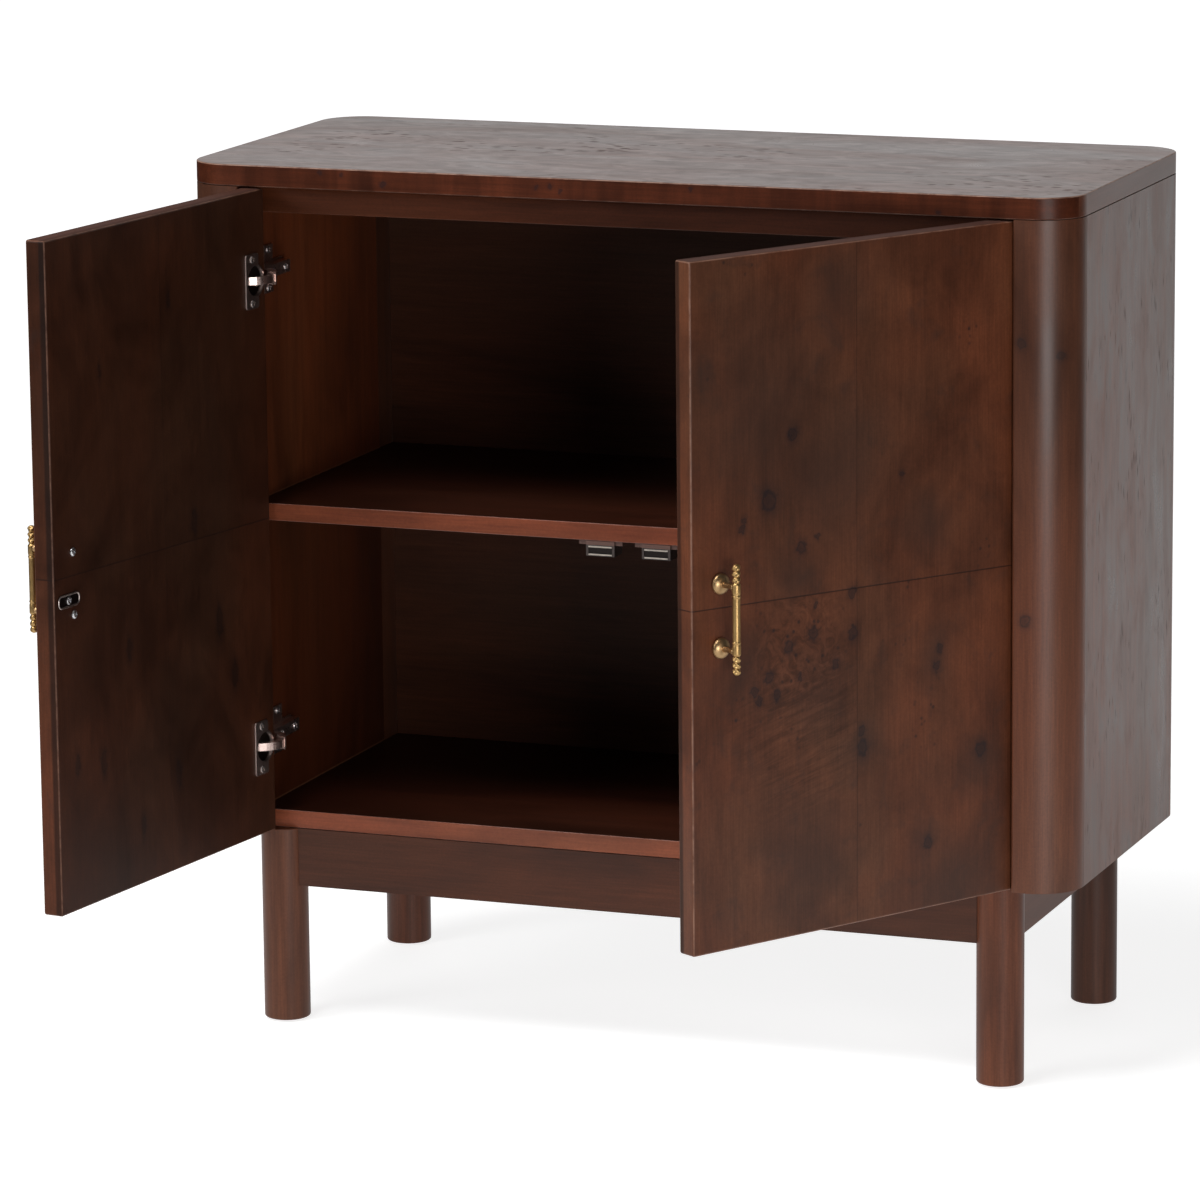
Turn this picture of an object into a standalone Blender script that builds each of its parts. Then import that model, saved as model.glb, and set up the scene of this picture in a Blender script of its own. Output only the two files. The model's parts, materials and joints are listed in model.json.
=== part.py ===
"""Accent cabinet: a two-door wooden cabinet on four round legs.

Every size is in metres.  X runs to the right along the front, Y to the back and Z up.
The case is modelled about its own middle.  Each door is built shut, in the frame of its
hinge axis, and an empty on that axis turns it to its resting angle.  At the end the root
empty moves all of it, so that the origin is on the floor under the middle of the box that
holds the cabinet with its doors as they rest.
"""
import math

import bmesh
import bpy
from mathutils import Matrix, Vector

# Case
WIDTH = 0.943
DEPTH = 0.403
HEIGHT = 0.900
CORNER_RADIUS = 0.046
TOP_THICKNESS = 0.022
TOP_EDGE = 0.0015
CASE_BOTTOM_Z = 0.207
POST_WIDTH = 0.0615
POST_EDGE = 0.0025
SIDE_THICKNESS = 0.018
INNER_WALL_THICKNESS = 0.012
SIDE_RAIL_HEIGHT = 0.030
BACK_THICKNESS = 0.006
BACK_RECESS = 0.004
FLOOR_THICKNESS = 0.0185
SHELF_TOP_Z = 0.548
SHELF_THICKNESS = 0.018
RAIL_HEIGHT = 0.0285
RAIL_THICKNESS = 0.020
PANEL_SETBACK = 0.0025
PANEL_EDGE = 0.0008
FIT_GAP = 0.0003

# Base
LEG_RADIUS = 0.024
LEG_INSET_X = 0.0827
LEG_INSET_Y = 0.0359
LEG_EDGE = 0.0025
APRON_HEIGHT = 0.061
APRON_THICKNESS = 0.018
APRON_FACE_OFFSET = 0.0122
GLIDE_RADIUS = 0.0135
GLIDE_HEIGHT = 0.002
GLIDE_EDGE = 0.0005
GLIDE_STEM_RADIUS = 0.004
GLIDE_STEM_LENGTH = 0.012

# Doors
DOOR_THICKNESS = 0.022
DOOR_SIDE_GAP = 0.003
DOOR_MIDDLE_GAP = 0.002
DOOR_TOP_GAP = 0.002
DOOR_BOTTOM_GAP = 0.001
DOOR_EDGE = 0.0025
LEFT_OPEN = 97.3
RIGHT_OPEN = 59.05

# Hinges.  In a shut door's frame s runs from its hinge edge and v back from its outer face.
AXIS_S = 0.005
AXIS_V = 0.006
HINGE_FROM_END = 0.092
CUP_RADIUS = 0.0175
CUP_EDGE_DISTANCE = 0.004
CUP_WALL = 0.002
CUP_FLOOR = 0.0007
CUP_SKIN = 0.0082
CUP_RIM_DROP = 0.0004
FLANGE_OFFSET = 0.006
FLANGE_WIDTH = 0.024
FLANGE_HEIGHT = 0.056
FLANGE_CORNER = 0.003
FLANGE_THICKNESS = 0.0015
FLANGE_SCREW_SPACING = 0.045
HINGE_SCREW_RADIUS = 0.0038
HINGE_SCREW_HEIGHT = 0.0007
ARM_INNER_RADIUS = 0.019
ARM_OUTER_RADIUS = 0.028
ARM_HEIGHT = 0.013
ARM_THICKNESS = 0.0083
ARM_END_V = 0.100
ARM_WEB = 0.001
ARM_SCREW_V = 0.089
ARM_ADJUSTER_V = 0.056
PLATE_THICKNESS = 0.0036
PLATE_START_V = 0.046
PLATE_OVERRUN = 0.002
PLATE_HEIGHT = 0.017
WING_THICKNESS = 0.002
WING_CENTRE_V = 0.068
WING_WIDTH = 0.022
WING_HEIGHT = 0.050
LINK_THICKNESS = 0.008
LINK_WIDTH = 0.006
LINK_CLEARANCE = 0.0005
LINK_END_ANGLE = 106.0

# Pulls
PULL_CENTRES = 0.062
PULL_FROM_EDGE = 0.0346
PULL_CENTRE_Z = 0.5355
PULL_PROJECTION = 0.0245
PULL_LENGTH = 0.107
ROSETTE_RADIUS = 0.0103
ROSETTE_THICKNESS = 0.004
PULL_NECK_RADIUS = 0.0036
BAR_RADIUS = 0.0038
COLLAR_RADIUS = 0.0043
COLLAR_BEVEL = 0.0010
COLLAR_RISE = 0.0038
COLLAR_DROP = 0.0075
BEAD_START = 0.0043
BEAD_RADII = (0.0038, 0.0037, 0.0038)
BEAD_WAIST = 0.0026
SCREW_RADIUS = 0.002
SCREW_HEAD_RADIUS = 0.0044
SCREW_HEAD_HEIGHT = 0.0022
SCREW_BITE = 0.007
SCREW_HOLE_CLEARANCE = 0.0004

# Catches
CATCH_CENTRE_X = 0.030
CATCH_WIDTH = 0.0305
CATCH_DEPTH = 0.022
CATCH_HEIGHT = 0.0155
CATCH_FLANGE_WIDTH = 0.0465
CATCH_FLANGE_DEPTH = 0.018
CATCH_FLANGE_THICKNESS = 0.004
CATCH_DOOR_GAP = 0.0005
MAGNET_WIDTH = 0.025
MAGNET_HEIGHT = 0.0095
MAGNET_DEPTH = 0.014
POLE_THICKNESS = 0.0016
POLE_PROUD = 0.0015
MAGNET_PROUD = 0.0005
STRIKE_WIDTH = 0.0385
STRIKE_HEIGHT = 0.0135
STRIKE_CORNER = 0.006
STRIKE_THICKNESS = 0.0012
STRIKE_FROM_EDGE = 0.0255
STRIKE_SCREW_RADIUS = 0.0032
STRIKE_SCREW_LENGTH = 0.012

# Places worked out from the sizes above
TOP_BOTTOM_Z = HEIGHT - TOP_THICKNESS
CASE_TOP_Z = TOP_BOTTOM_Z - FIT_GAP
INNER_X = WIDTH / 2 - POST_WIDTH
FRONT_Y = -DEPTH / 2
BACK_INNER_Y = DEPTH / 2 - BACK_RECESS - BACK_THICKNESS
PANEL_FRONT_Y = FRONT_Y + DOOR_THICKNESS + PANEL_SETBACK
PANEL_BACK_Y = BACK_INNER_Y - FIT_GAP
PANEL_HALF_WIDTH = INNER_X - FIT_GAP
SIDE_REACH = DEPTH / 2 - CORNER_RADIUS - FIT_GAP
SHELF_UNDER_Z = SHELF_TOP_Z - SHELF_THICKNESS
LEG_X = WIDTH / 2 - LEG_INSET_X
LEG_Y = DEPTH / 2 - LEG_INSET_Y
LEG_TOP_Z = CASE_BOTTOM_Z - FIT_GAP
DOOR_EDGE_X = INNER_X - DOOR_SIDE_GAP
DOOR_WIDTH = DOOR_EDGE_X - DOOR_MIDDLE_GAP / 2
DOOR_BOTTOM_Z = CASE_BOTTOM_Z + DOOR_BOTTOM_GAP
DOOR_TOP_Z = TOP_BOTTOM_Z - DOOR_TOP_GAP
HINGE_HEIGHTS = {"upper": DOOR_TOP_Z - HINGE_FROM_END, "lower": DOOR_BOTTOM_Z + HINGE_FROM_END}
CUP_S = CUP_EDGE_DISTANCE + CUP_RADIUS
CUP_BASE_V = CUP_SKIN + FIT_GAP
CUP_FLOOR_V = CUP_BASE_V + CUP_FLOOR
FACE_V = DOOR_THICKNESS + FIT_GAP
FLANGE_FACE_V = FACE_V + FLANGE_THICKNESS
WALL_S = -DOOR_SIDE_GAP
ARM_FOOT = CUP_FLOOR_V - AXIS_V + FIT_GAP
ARM_LOW_S = WALL_S + FIT_GAP + PLATE_THICKNESS + FIT_GAP
PULL_HEIGHTS = {"upper": PULL_CENTRE_Z + PULL_CENTRES / 2, "lower": PULL_CENTRE_Z - PULL_CENTRES / 2}
PULL_S = DOOR_WIDTH - PULL_FROM_EDGE
STRIKE_S = DOOR_WIDTH - STRIKE_FROM_EDGE
CATCH_TOP_Z = SHELF_UNDER_Z - FIT_GAP
MAGNET_Z = CATCH_TOP_Z - (CATCH_FLANGE_THICKNESS + CATCH_HEIGHT) / 2
SIDES = {"left": -1, "right": 1}
SMOOTH_ANGLE = 35


def clear_scene():
    """Remove whatever the opened file holds."""
    for item in list(bpy.data.objects):
        bpy.data.objects.remove(item, do_unlink=True)


def make_collection(name):
    group = bpy.data.collections.new(name)
    bpy.context.scene.collection.children.link(group)
    return group


def make_material(name, colour, roughness, metallic=0.0):
    """A plain Principled material."""
    material = bpy.data.materials.new(name)
    material.use_nodes = True
    shader = material.node_tree.nodes["Principled BSDF"]
    shader.inputs["Base Color"].default_value = (*colour, 1.0)
    shader.inputs["Roughness"].default_value = roughness
    shader.inputs["Metallic"].default_value = metallic
    material.diffuse_color = (*colour, 1.0)
    return material


clear_scene()
PARTS = make_collection("accent_cabinet")
CUTTERS = make_collection("cutters")

WALNUT = make_material("walnut_veneer", (0.080, 0.030, 0.020), 0.40)
BURL = make_material("burl_veneer", (0.085, 0.034, 0.023), 0.36)
LEG_WOOD = make_material("leg_wood", (0.075, 0.026, 0.018), 0.42)
INNER_WOOD = make_material("inner_wood", (0.095, 0.032, 0.014), 0.50)
BRASS = make_material("antique_brass", (0.450, 0.300, 0.130), 0.34, 1.0)
NICKEL = make_material("nickel_plate", (0.520, 0.430, 0.390), 0.28, 1.0)
STEEL = make_material("zinc_steel", (0.560, 0.560, 0.570), 0.35, 1.0)
BROWN_PLASTIC = make_material("brown_plastic", (0.060, 0.035, 0.028), 0.50)
GLIDE_RUBBER = make_material("glide_rubber", (0.012, 0.010, 0.010), 0.65)


def add_object(name, mesh, material, location=(0, 0, 0), parent=None, group=None):
    """Link a mesh as one named object; its location is in its parent's frame."""
    item = bpy.data.objects.new(name, mesh)
    (group or PARTS).objects.link(item)
    item.location = location
    item.parent = parent
    if material:
        mesh.materials.clear()
        mesh.materials.append(material)
    return item


def add_empty(name, location=(0, 0, 0), parent=None):
    empty = bpy.data.objects.new(name, None)
    PARTS.objects.link(empty)
    empty.location = location
    empty.parent = parent
    return empty


ROOT = add_empty("cabinet_root")


def box_mesh(name, size):
    """A box of the given size, centred on its origin."""
    mesh = bpy.data.meshes.new(name)
    form = bmesh.new()
    bmesh.ops.create_cube(form, size=1.0, matrix=Matrix.Diagonal((*size, 1.0)))
    form.to_mesh(mesh)
    form.free()
    return mesh


def cone_mesh(name, radius, end_radius, length, axis="Z", segments=32):
    """A cone or, with equal radii, a cylinder, centred on its origin, from low to high along an axis."""
    turn = {
        "X": Matrix.Rotation(math.pi / 2, 4, "Y"),
        "Y": Matrix.Rotation(-math.pi / 2, 4, "X"),
        "Z": Matrix(),
    }
    mesh = bpy.data.meshes.new(name)
    form = bmesh.new()
    bmesh.ops.create_cone(form, cap_ends=True, segments=segments, radius1=radius, radius2=end_radius,
                          depth=length, matrix=turn[axis])
    form.to_mesh(mesh)
    form.free()
    return mesh


def rod_mesh(name, radius, length, axis="Z", segments=32):
    return cone_mesh(name, radius, radius, length, axis, segments)


def outline_mesh(name, points, thickness, plane="XY"):
    """A flat outline with thickness, from a 2D curve.  Its plane is XY, or upright XZ or YZ."""
    curve = bpy.data.curves.new(name + "_outline", "CURVE")
    curve.dimensions = "2D"
    curve.fill_mode = "BOTH"
    curve.extrude = thickness / 2
    spline = curve.splines.new("POLY")
    spline.points.add(len(points) - 1)
    for point, (x, y) in zip(spline.points, points):
        point.co = (x, y, 0, 1)
    spline.use_cyclic_u = True
    holder = bpy.data.objects.new(name + "_outline", curve)
    CUTTERS.objects.link(holder)
    graph = bpy.context.evaluated_depsgraph_get()
    mesh = bpy.data.meshes.new_from_object(holder.evaluated_get(graph))
    bpy.data.objects.remove(holder, do_unlink=True)
    form = bmesh.new()
    form.from_mesh(mesh)
    bmesh.ops.remove_doubles(form, verts=form.verts, dist=1e-6)
    bmesh.ops.recalc_face_normals(form, faces=form.faces)
    upright = Matrix.Rotation(math.pi / 2, 3, "X")
    turn = {"XY": Matrix.Identity(3), "XZ": upright, "YZ": Matrix.Rotation(math.pi / 2, 3, "Z") @ upright}
    bmesh.ops.transform(form, verts=form.verts, matrix=turn[plane].to_4x4())
    form.to_mesh(mesh)
    form.free()
    mesh.name = name
    return mesh


def arc_points(centre, radius, start, end, steps):
    """Points along an arc, with its angles in degrees."""
    angles = [math.radians(start + (end - start) * i / steps) for i in range(steps + 1)]
    return [(centre[0] + radius * math.cos(a), centre[1] + radius * math.sin(a)) for a in angles]


def rounded_rectangle(width, height, radius, steps=6):
    """Outline of a rectangle with round corners, about the origin."""
    points = []
    for x_sign, y_sign, start in ((1, -1, -90), (1, 1, 0), (-1, 1, 90), (-1, -1, 180)):
        centre = (x_sign * (width / 2 - radius), y_sign * (height / 2 - radius))
        points += arc_points(centre, radius, start, start + 90, steps)
    return points


def evaluated_mesh(item):
    """An object's mesh with its modifiers, as a new mesh."""
    graph = bpy.context.evaluated_depsgraph_get()
    return bpy.data.meshes.new_from_object(item.evaluated_get(graph))


def settle(item):
    """Replace an object's mesh with its evaluated one and drop its modifiers."""
    mesh = evaluated_mesh(item)
    item.modifiers.clear()
    item.data = mesh


def combine(item, tool_mesh, operation, location=(0, 0, 0)):
    """Cut a mesh from an object, or join it on.  The mesh's place is in the object's frame."""
    holder = add_object(item.name + "_holder", item.data, None, group=CUTTERS)
    tool = add_object(item.name + "_tool", tool_mesh, None, location, group=CUTTERS)
    tool.display_type = "WIRE"
    tool.hide_render = True
    joint = holder.modifiers.new(operation.lower(), "BOOLEAN")
    joint.operation = operation
    joint.solver = "EXACT"
    joint.object = tool
    material = item.data.materials[0]
    item.data = evaluated_mesh(holder)
    item.data.materials.clear()
    item.data.materials.append(material)
    bpy.data.objects.remove(holder, do_unlink=True)
    bpy.data.objects.remove(tool, do_unlink=True)


def add_bevel(item, width, segments=2, angle=40):
    """Rounded edges, kept as a modifier."""
    edge = item.modifiers.new("rounded_edges", "BEVEL")
    edge.width = width
    edge.segments = segments
    edge.limit_method = "ANGLE"
    edge.angle_limit = math.radians(angle)


def shade(item):
    item.data.shade_smooth()
    item.data.set_sharp_from_angle(angle=math.radians(SMOOTH_ANGLE))


def add_box(name, low, high, material, edge=0.0, parent=ROOT):
    """A box between two corners, with its edges rounded if asked."""
    size = [b - a for a, b in zip(low, high)]
    centre = [(a + b) / 2 for a, b in zip(low, high)]
    item = add_object(name, box_mesh(name, size), material, centre, parent)
    if edge:
        add_bevel(item, edge)


def turned(name, profile, material, location, parent=ROOT, segments=32):
    """A turned piece from (radius, height) points that run down its outer side."""
    mesh = bpy.data.meshes.new(name)
    steps = [(i, i + 1) for i in range(len(profile) - 1)]
    mesh.from_pydata([(radius, 0, z) for radius, z in profile], steps, [])
    item = add_object(name, mesh, material, location, parent)
    screw = item.modifiers.new("turning", "SCREW")
    screw.axis = "Z"
    screw.steps = segments
    screw.render_steps = segments
    screw.use_merge_vertices = True
    screw.merge_threshold = 0.00001
    screw.use_smooth_shade = True
    return item


def build_top():
    """The top slab, with its four corners on the same round as the posts."""
    outline = rounded_rectangle(WIDTH, DEPTH, CORNER_RADIUS, steps=8)
    mesh = outline_mesh("top_panel", outline, TOP_THICKNESS)
    item = add_object("top_panel", mesh, WALNUT, (0, 0, HEIGHT - TOP_THICKNESS / 2), ROOT)
    add_bevel(item, TOP_EDGE, angle=60)
    shade(item)


def build_posts():
    """Four corner posts, their outer corner on a large round and the edge by the door softened."""
    height = CASE_TOP_Z - CASE_BOTTOM_Z
    corner = (POST_WIDTH - CORNER_RADIUS, 0)
    edge = (POST_EDGE, CORNER_RADIUS - POST_EDGE)
    outline = [(0, 0), *arc_points(corner, CORNER_RADIUS, 0, 90, 8), *arc_points(edge, POST_EDGE, 90, 180, 2)]
    for end, y_sign in (("front", -1), ("rear", 1)):
        for side, x_sign in SIDES.items():
            name = end + "_" + side + "_post"
            points = [(x_sign * x, y_sign * y) for x, y in outline]
            place = (x_sign * INNER_X, y_sign * (DEPTH / 2 - CORNER_RADIUS), CASE_BOTTOM_Z + height / 2)
            shade(add_object(name, outline_mesh(name, points, height), WALNUT, place, ROOT))


def build_sides():
    """On each side an outer panel flush with the posts, an inner wall and a rail that joins them below."""
    rail_in = INNER_X + INNER_WALL_THICKNESS + FIT_GAP
    panel_in = WIDTH / 2 - SIDE_THICKNESS
    rail_top_z = CASE_BOTTOM_Z + SIDE_RAIL_HEIGHT
    for side, x_sign in SIDES.items():
        for name, near, far, top_z, material in (
                ("side_panel", panel_in, WIDTH / 2, CASE_TOP_Z, WALNUT),
                ("inner_wall", INNER_X, INNER_X + INNER_WALL_THICKNESS, CASE_TOP_Z, INNER_WOOD),
                ("side_rail", rail_in, panel_in - FIT_GAP, rail_top_z, INNER_WOOD)):
            low_x, high_x = sorted((x_sign * near, x_sign * far))
            low = (low_x, -SIDE_REACH, CASE_BOTTOM_Z)
            add_box(side + "_" + name, low, (high_x, SIDE_REACH, top_z), material)


def build_case_panels():
    """Floor, shelf, the rail under the front of the top, and the back."""
    half = PANEL_HALF_WIDTH
    floor_top_z = CASE_BOTTOM_Z + FLOOR_THICKNESS
    for name, low_z, high_z, back_y in (
            ("bottom_panel", CASE_BOTTOM_Z, floor_top_z, PANEL_BACK_Y),
            ("shelf", SHELF_UNDER_Z, SHELF_TOP_Z, PANEL_BACK_Y),
            ("top_rail", CASE_TOP_Z - RAIL_HEIGHT, CASE_TOP_Z, PANEL_FRONT_Y + RAIL_THICKNESS)):
        add_box(name, (-half, PANEL_FRONT_Y, low_z), (half, back_y, high_z), WALNUT, PANEL_EDGE)
    back_y = BACK_INNER_Y + BACK_THICKNESS
    add_box("back_panel", (-half, BACK_INNER_Y, CASE_BOTTOM_Z), (half, back_y, CASE_TOP_Z), INNER_WOOD)


def build_leg(name, spot):
    """A round leg with a softened foot, bored for its glide's stem."""
    height = LEG_TOP_Z - GLIDE_HEIGHT
    foot = arc_points((LEG_RADIUS - LEG_EDGE, LEG_EDGE), LEG_EDGE, 0, -90, 2)
    profile = [(0, height), (LEG_RADIUS, height), *foot, (0, 0)]
    leg = turned(name, profile, LEG_WOOD, (*spot, GLIDE_HEIGHT), segments=36)
    settle(leg)
    bore = rod_mesh("bore", GLIDE_STEM_RADIUS + FIT_GAP, 2 * GLIDE_STEM_LENGTH, segments=12)
    combine(leg, bore, "DIFFERENCE")
    shade(leg)


def build_glide(name, spot):
    """A round pad under a leg, with a stem that goes up into it."""
    pad = GLIDE_HEIGHT - FIT_GAP
    stem_top = GLIDE_HEIGHT + GLIDE_STEM_LENGTH - FIT_GAP
    profile = [
        (0, stem_top),
        (GLIDE_STEM_RADIUS, stem_top),
        (GLIDE_STEM_RADIUS, pad),
        (GLIDE_RADIUS - GLIDE_EDGE, pad),
        (GLIDE_RADIUS, pad - GLIDE_EDGE),
        (GLIDE_RADIUS, GLIDE_EDGE),
        (GLIDE_RADIUS - GLIDE_EDGE, 0),
        (0, 0),
    ]
    turned(name, profile, GLIDE_RUBBER, (*spot, 0), segments=20)


def build_aprons():
    """Four aprons between the legs, their ends coped round them."""
    cutter_radius = LEG_RADIUS + FIT_GAP
    middle_z = LEG_TOP_Z - APRON_HEIGHT / 2
    setback = APRON_FACE_OFFSET - APRON_THICKNESS / 2
    for name, sign, lengthwise in (("front_apron", -1, True), ("rear_apron", 1, True),
                                   ("left_apron", -1, False), ("right_apron", 1, False)):
        span = LEG_X if lengthwise else LEG_Y
        middle = sign * ((LEG_Y if lengthwise else LEG_X) + setback)
        size = (2 * span, APRON_THICKNESS, APRON_HEIGHT)
        place = (0, middle, middle_z)
        if not lengthwise:
            size = (size[1], size[0], size[2])
            place = (middle, 0, middle_z)
        item = add_object(name, box_mesh(name, size), WALNUT, place, ROOT)
        for end in (-1, 1):
            offset = (end * span, -sign * setback)
            if not lengthwise:
                offset = (offset[1], offset[0])
            cope = rod_mesh("cope", cutter_radius, 2 * APRON_HEIGHT, segments=36)
            combine(item, cope, "DIFFERENCE", (*offset, 0))
        shade(item)


def build_base():
    for end, y_sign in (("front", -1), ("rear", 1)):
        for side, x_sign in SIDES.items():
            spot = (x_sign * LEG_X, y_sign * LEG_Y)
            build_leg(end + "_" + side + "_leg", spot)
            build_glide(end + "_" + side + "_glide", spot)
    build_aprons()


def door_point(x_sign, s, v):
    """A place in the frame of a shut door's hinge axis, from its s and v."""
    return -x_sign * (s - AXIS_S), v - AXIS_V


def case_point(x_sign, s, v):
    """The same place in the case's frame."""
    x, y = door_point(x_sign, s, v)
    return x_sign * (DOOR_EDGE_X - AXIS_S) + x, FRONT_Y + AXIS_V + y


def add_door_axis(side, x_sign, angle):
    """The empty on the hinge axis, turned by the resting angle."""
    axis = add_empty(side + "_door_axis", (*case_point(x_sign, AXIS_S, AXIS_V), 0), ROOT)
    axis.rotation_euler.z = x_sign * math.radians(angle)
    return axis


def build_door(side, x_sign, axis):
    """The door leaf, bored for its hinge cups, pull screws and strike screw."""
    x, y = door_point(x_sign, DOOR_WIDTH / 2, DOOR_THICKNESS / 2)
    height = DOOR_TOP_Z - DOOR_BOTTOM_Z
    name = side + "_door"
    mesh = box_mesh(name, (DOOR_WIDTH, DOOR_THICKNESS, height))
    item = add_object(name, mesh, BURL, (x, y, DOOR_BOTTOM_Z + height / 2), axis)
    add_bevel(item, DOOR_EDGE)
    settle(item)
    centre = Vector(item.location)
    inner_y = DOOR_THICKNESS - AXIS_V
    cup_x = door_point(x_sign, CUP_S, 0)[0]
    for z in HINGE_HEIGHTS.values():
        pocket = rod_mesh("pocket", CUP_RADIUS + FIT_GAP, 2 * (DOOR_THICKNESS - CUP_SKIN), "Y", 32)
        combine(item, pocket, "DIFFERENCE", Vector((cup_x, inner_y, z)) - centre)
    pull_x = door_point(x_sign, PULL_S, 0)[0]
    for z in PULL_HEIGHTS.values():
        bore = rod_mesh("bore", SCREW_RADIUS + SCREW_HOLE_CLEARANCE, 2 * DOOR_THICKNESS, "Y", 16)
        combine(item, bore, "DIFFERENCE", Vector((pull_x, y, z)) - centre)
    strike_x = door_point(x_sign, STRIKE_S, 0)[0]
    bore = rod_mesh("bore", SCREW_RADIUS + SCREW_HOLE_CLEARANCE, 2 * STRIKE_SCREW_LENGTH, "Y", 16)
    combine(item, bore, "DIFFERENCE", Vector((strike_x, inner_y, MAGNET_Z)) - centre)
    shade(item)


def pull_profile():
    """The bar from its top end to its middle: three beads, a collar at the neck and a plain stretch."""
    half = PULL_LENGTH / 2
    neck = PULL_CENTRES / 2
    bead = (half - neck - BEAD_START) / len(BEAD_RADII)
    points = [(0, half), (BEAD_WAIST, half)]
    for i, radius in enumerate(BEAD_RADII):
        middle = half - bead * (i + 0.45)
        points.append((radius, middle + bead * 0.2))
        points.append((radius, middle - bead * 0.2))
        points.append((BEAD_WAIST, middle - bead * 0.5))
    points.append((COLLAR_RADIUS - COLLAR_BEVEL / 2, neck + COLLAR_RISE))
    points.append((COLLAR_RADIUS, neck + COLLAR_RISE - COLLAR_BEVEL))
    points.append((COLLAR_RADIUS, neck - COLLAR_DROP + COLLAR_BEVEL))
    points.append((BAR_RADIUS, neck - COLLAR_DROP))
    return points


def build_pull(side, x_sign, axis):
    """The pull: a beaded bar on two necks with domed rosettes, in one casting, bored for its screws."""
    x = door_point(x_sign, PULL_S, 0)[0]
    upper = pull_profile()
    profile = upper + [(radius, -z) for radius, z in reversed(upper)]
    place = (x, -AXIS_V - PULL_PROJECTION, PULL_CENTRE_Z)
    item = turned(side + "_pull", profile, BRASS, place, axis, segments=16)
    settle(item)
    seat = PULL_PROJECTION - FIT_GAP
    dome_height = ROSETTE_THICKNESS * 0.8
    for z in (PULL_CENTRES / 2, -PULL_CENTRES / 2):
        neck = cone_mesh("neck", PULL_NECK_RADIUS * 0.75, PULL_NECK_RADIUS * 1.3, seat - FIT_GAP, "Y", 12)
        combine(item, neck, "UNION", (0, seat / 2, z))
        rosette = cone_mesh("rosette", ROSETTE_RADIUS * 0.86, ROSETTE_RADIUS, ROSETTE_THICKNESS, "Y", 24)
        combine(item, rosette, "UNION", (0, seat - ROSETTE_THICKNESS / 2, z))
        dome_y = seat - ROSETTE_THICKNESS - dome_height / 2 + FIT_GAP
        dome = cone_mesh("dome", ROSETTE_RADIUS * 0.42, ROSETTE_RADIUS * 0.84, dome_height, "Y", 24)
        combine(item, dome, "UNION", (0, dome_y, z))
        bore = rod_mesh("bore", SCREW_RADIUS + FIT_GAP, 2 * (SCREW_BITE + FIT_GAP), "Y", 12)
        combine(item, bore, "DIFFERENCE", (0, seat, z))
    shade(item)


def build_pull_screws(side, x_sign, axis):
    """Two screws through the door into the pull, with their heads on the inner face."""
    x = door_point(x_sign, PULL_S, 0)[0]
    seat_y = FACE_V - AXIS_V
    tip_y = -AXIS_V - SCREW_BITE
    middle_y = (tip_y + seat_y + SCREW_HEAD_HEIGHT / 2) / 2
    length = 2 * (middle_y - tip_y)
    for level, z in PULL_HEIGHTS.items():
        name = side + "_pull_screw_" + level
        mesh = rod_mesh(name, SCREW_RADIUS, length, "Y", 12)
        item = add_object(name, mesh, STEEL, (x, middle_y, z), axis)
        head = cone_mesh("head", SCREW_HEAD_RADIUS, SCREW_HEAD_RADIUS * 0.7, SCREW_HEAD_HEIGHT, "Y", 16)
        combine(item, head, "UNION", (0, seat_y + SCREW_HEAD_HEIGHT / 2 - middle_y, 0))
        shade(item)


def build_cup(side, x_sign, axis, level, z):
    """A hinge cup in its pocket, with a screwed flange on the door's inner face."""
    name = side + "_hinge_cup_" + level
    x = door_point(x_sign, CUP_S, 0)[0]
    rim_v = FLANGE_FACE_V - CUP_RIM_DROP
    depth = rim_v - CUP_BASE_V
    middle_v = (rim_v + CUP_BASE_V) / 2
    place = (x, middle_v - AXIS_V, z)
    item = add_object(name, rod_mesh(name, CUP_RADIUS, depth, "Y", 32), NICKEL, place, axis)
    outline = rounded_rectangle(FLANGE_WIDTH, FLANGE_HEIGHT, FLANGE_CORNER, 3)
    flange = outline_mesh("flange", outline, FLANGE_THICKNESS, "XZ")
    flange_x = -x_sign * FLANGE_OFFSET
    flange_y = FACE_V + FLANGE_THICKNESS / 2 - middle_v
    combine(item, flange, "UNION", (flange_x, flange_y, 0))
    hollow = rod_mesh("hollow", CUP_RADIUS - CUP_WALL, 2 * depth, "Y", 32)
    combine(item, hollow, "DIFFERENCE", (0, CUP_FLOOR_V + depth - middle_v, 0))
    for sign in (-1, 1):
        head = rod_mesh("screw_head", HINGE_SCREW_RADIUS, 2 * HINGE_SCREW_HEIGHT, "Y", 16)
        spot = (flange_x, FLANGE_FACE_V - middle_v, sign * FLANGE_SCREW_SPACING / 2)
        combine(item, head, "UNION", spot)
    shade(item)


def foot_angle(radius):
    """Where an arc about the hinge axis meets the level just over a shut cup's floor."""
    return math.degrees(math.asin(ARM_FOOT / radius))


def ring_outline(x_sign, inner, outer, end_angle, steps=12):
    """Part of a ring about the hinge axis, from just over the cup's floor round to an angle."""
    points = arc_points((0, 0), outer, foot_angle(outer), end_angle, steps)
    points += arc_points((0, 0), inner, end_angle, foot_angle(inner), steps)
    return [(-x_sign * x, y) for x, y in points]


def build_link(side, x_sign, axis, level, z):
    """The link of a hinge: a curved plate that stands in the cup and slides inside the arm."""
    name = side + "_hinge_link_" + level
    outer = ARM_OUTER_RADIUS - ARM_WEB - LINK_CLEARANCE
    outline = ring_outline(x_sign, outer - LINK_WIDTH, outer, LINK_END_ANGLE)
    shade(add_object(name, outline_mesh(name, outline, LINK_THICKNESS), NICKEL, (0, 0, z), axis))


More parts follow.
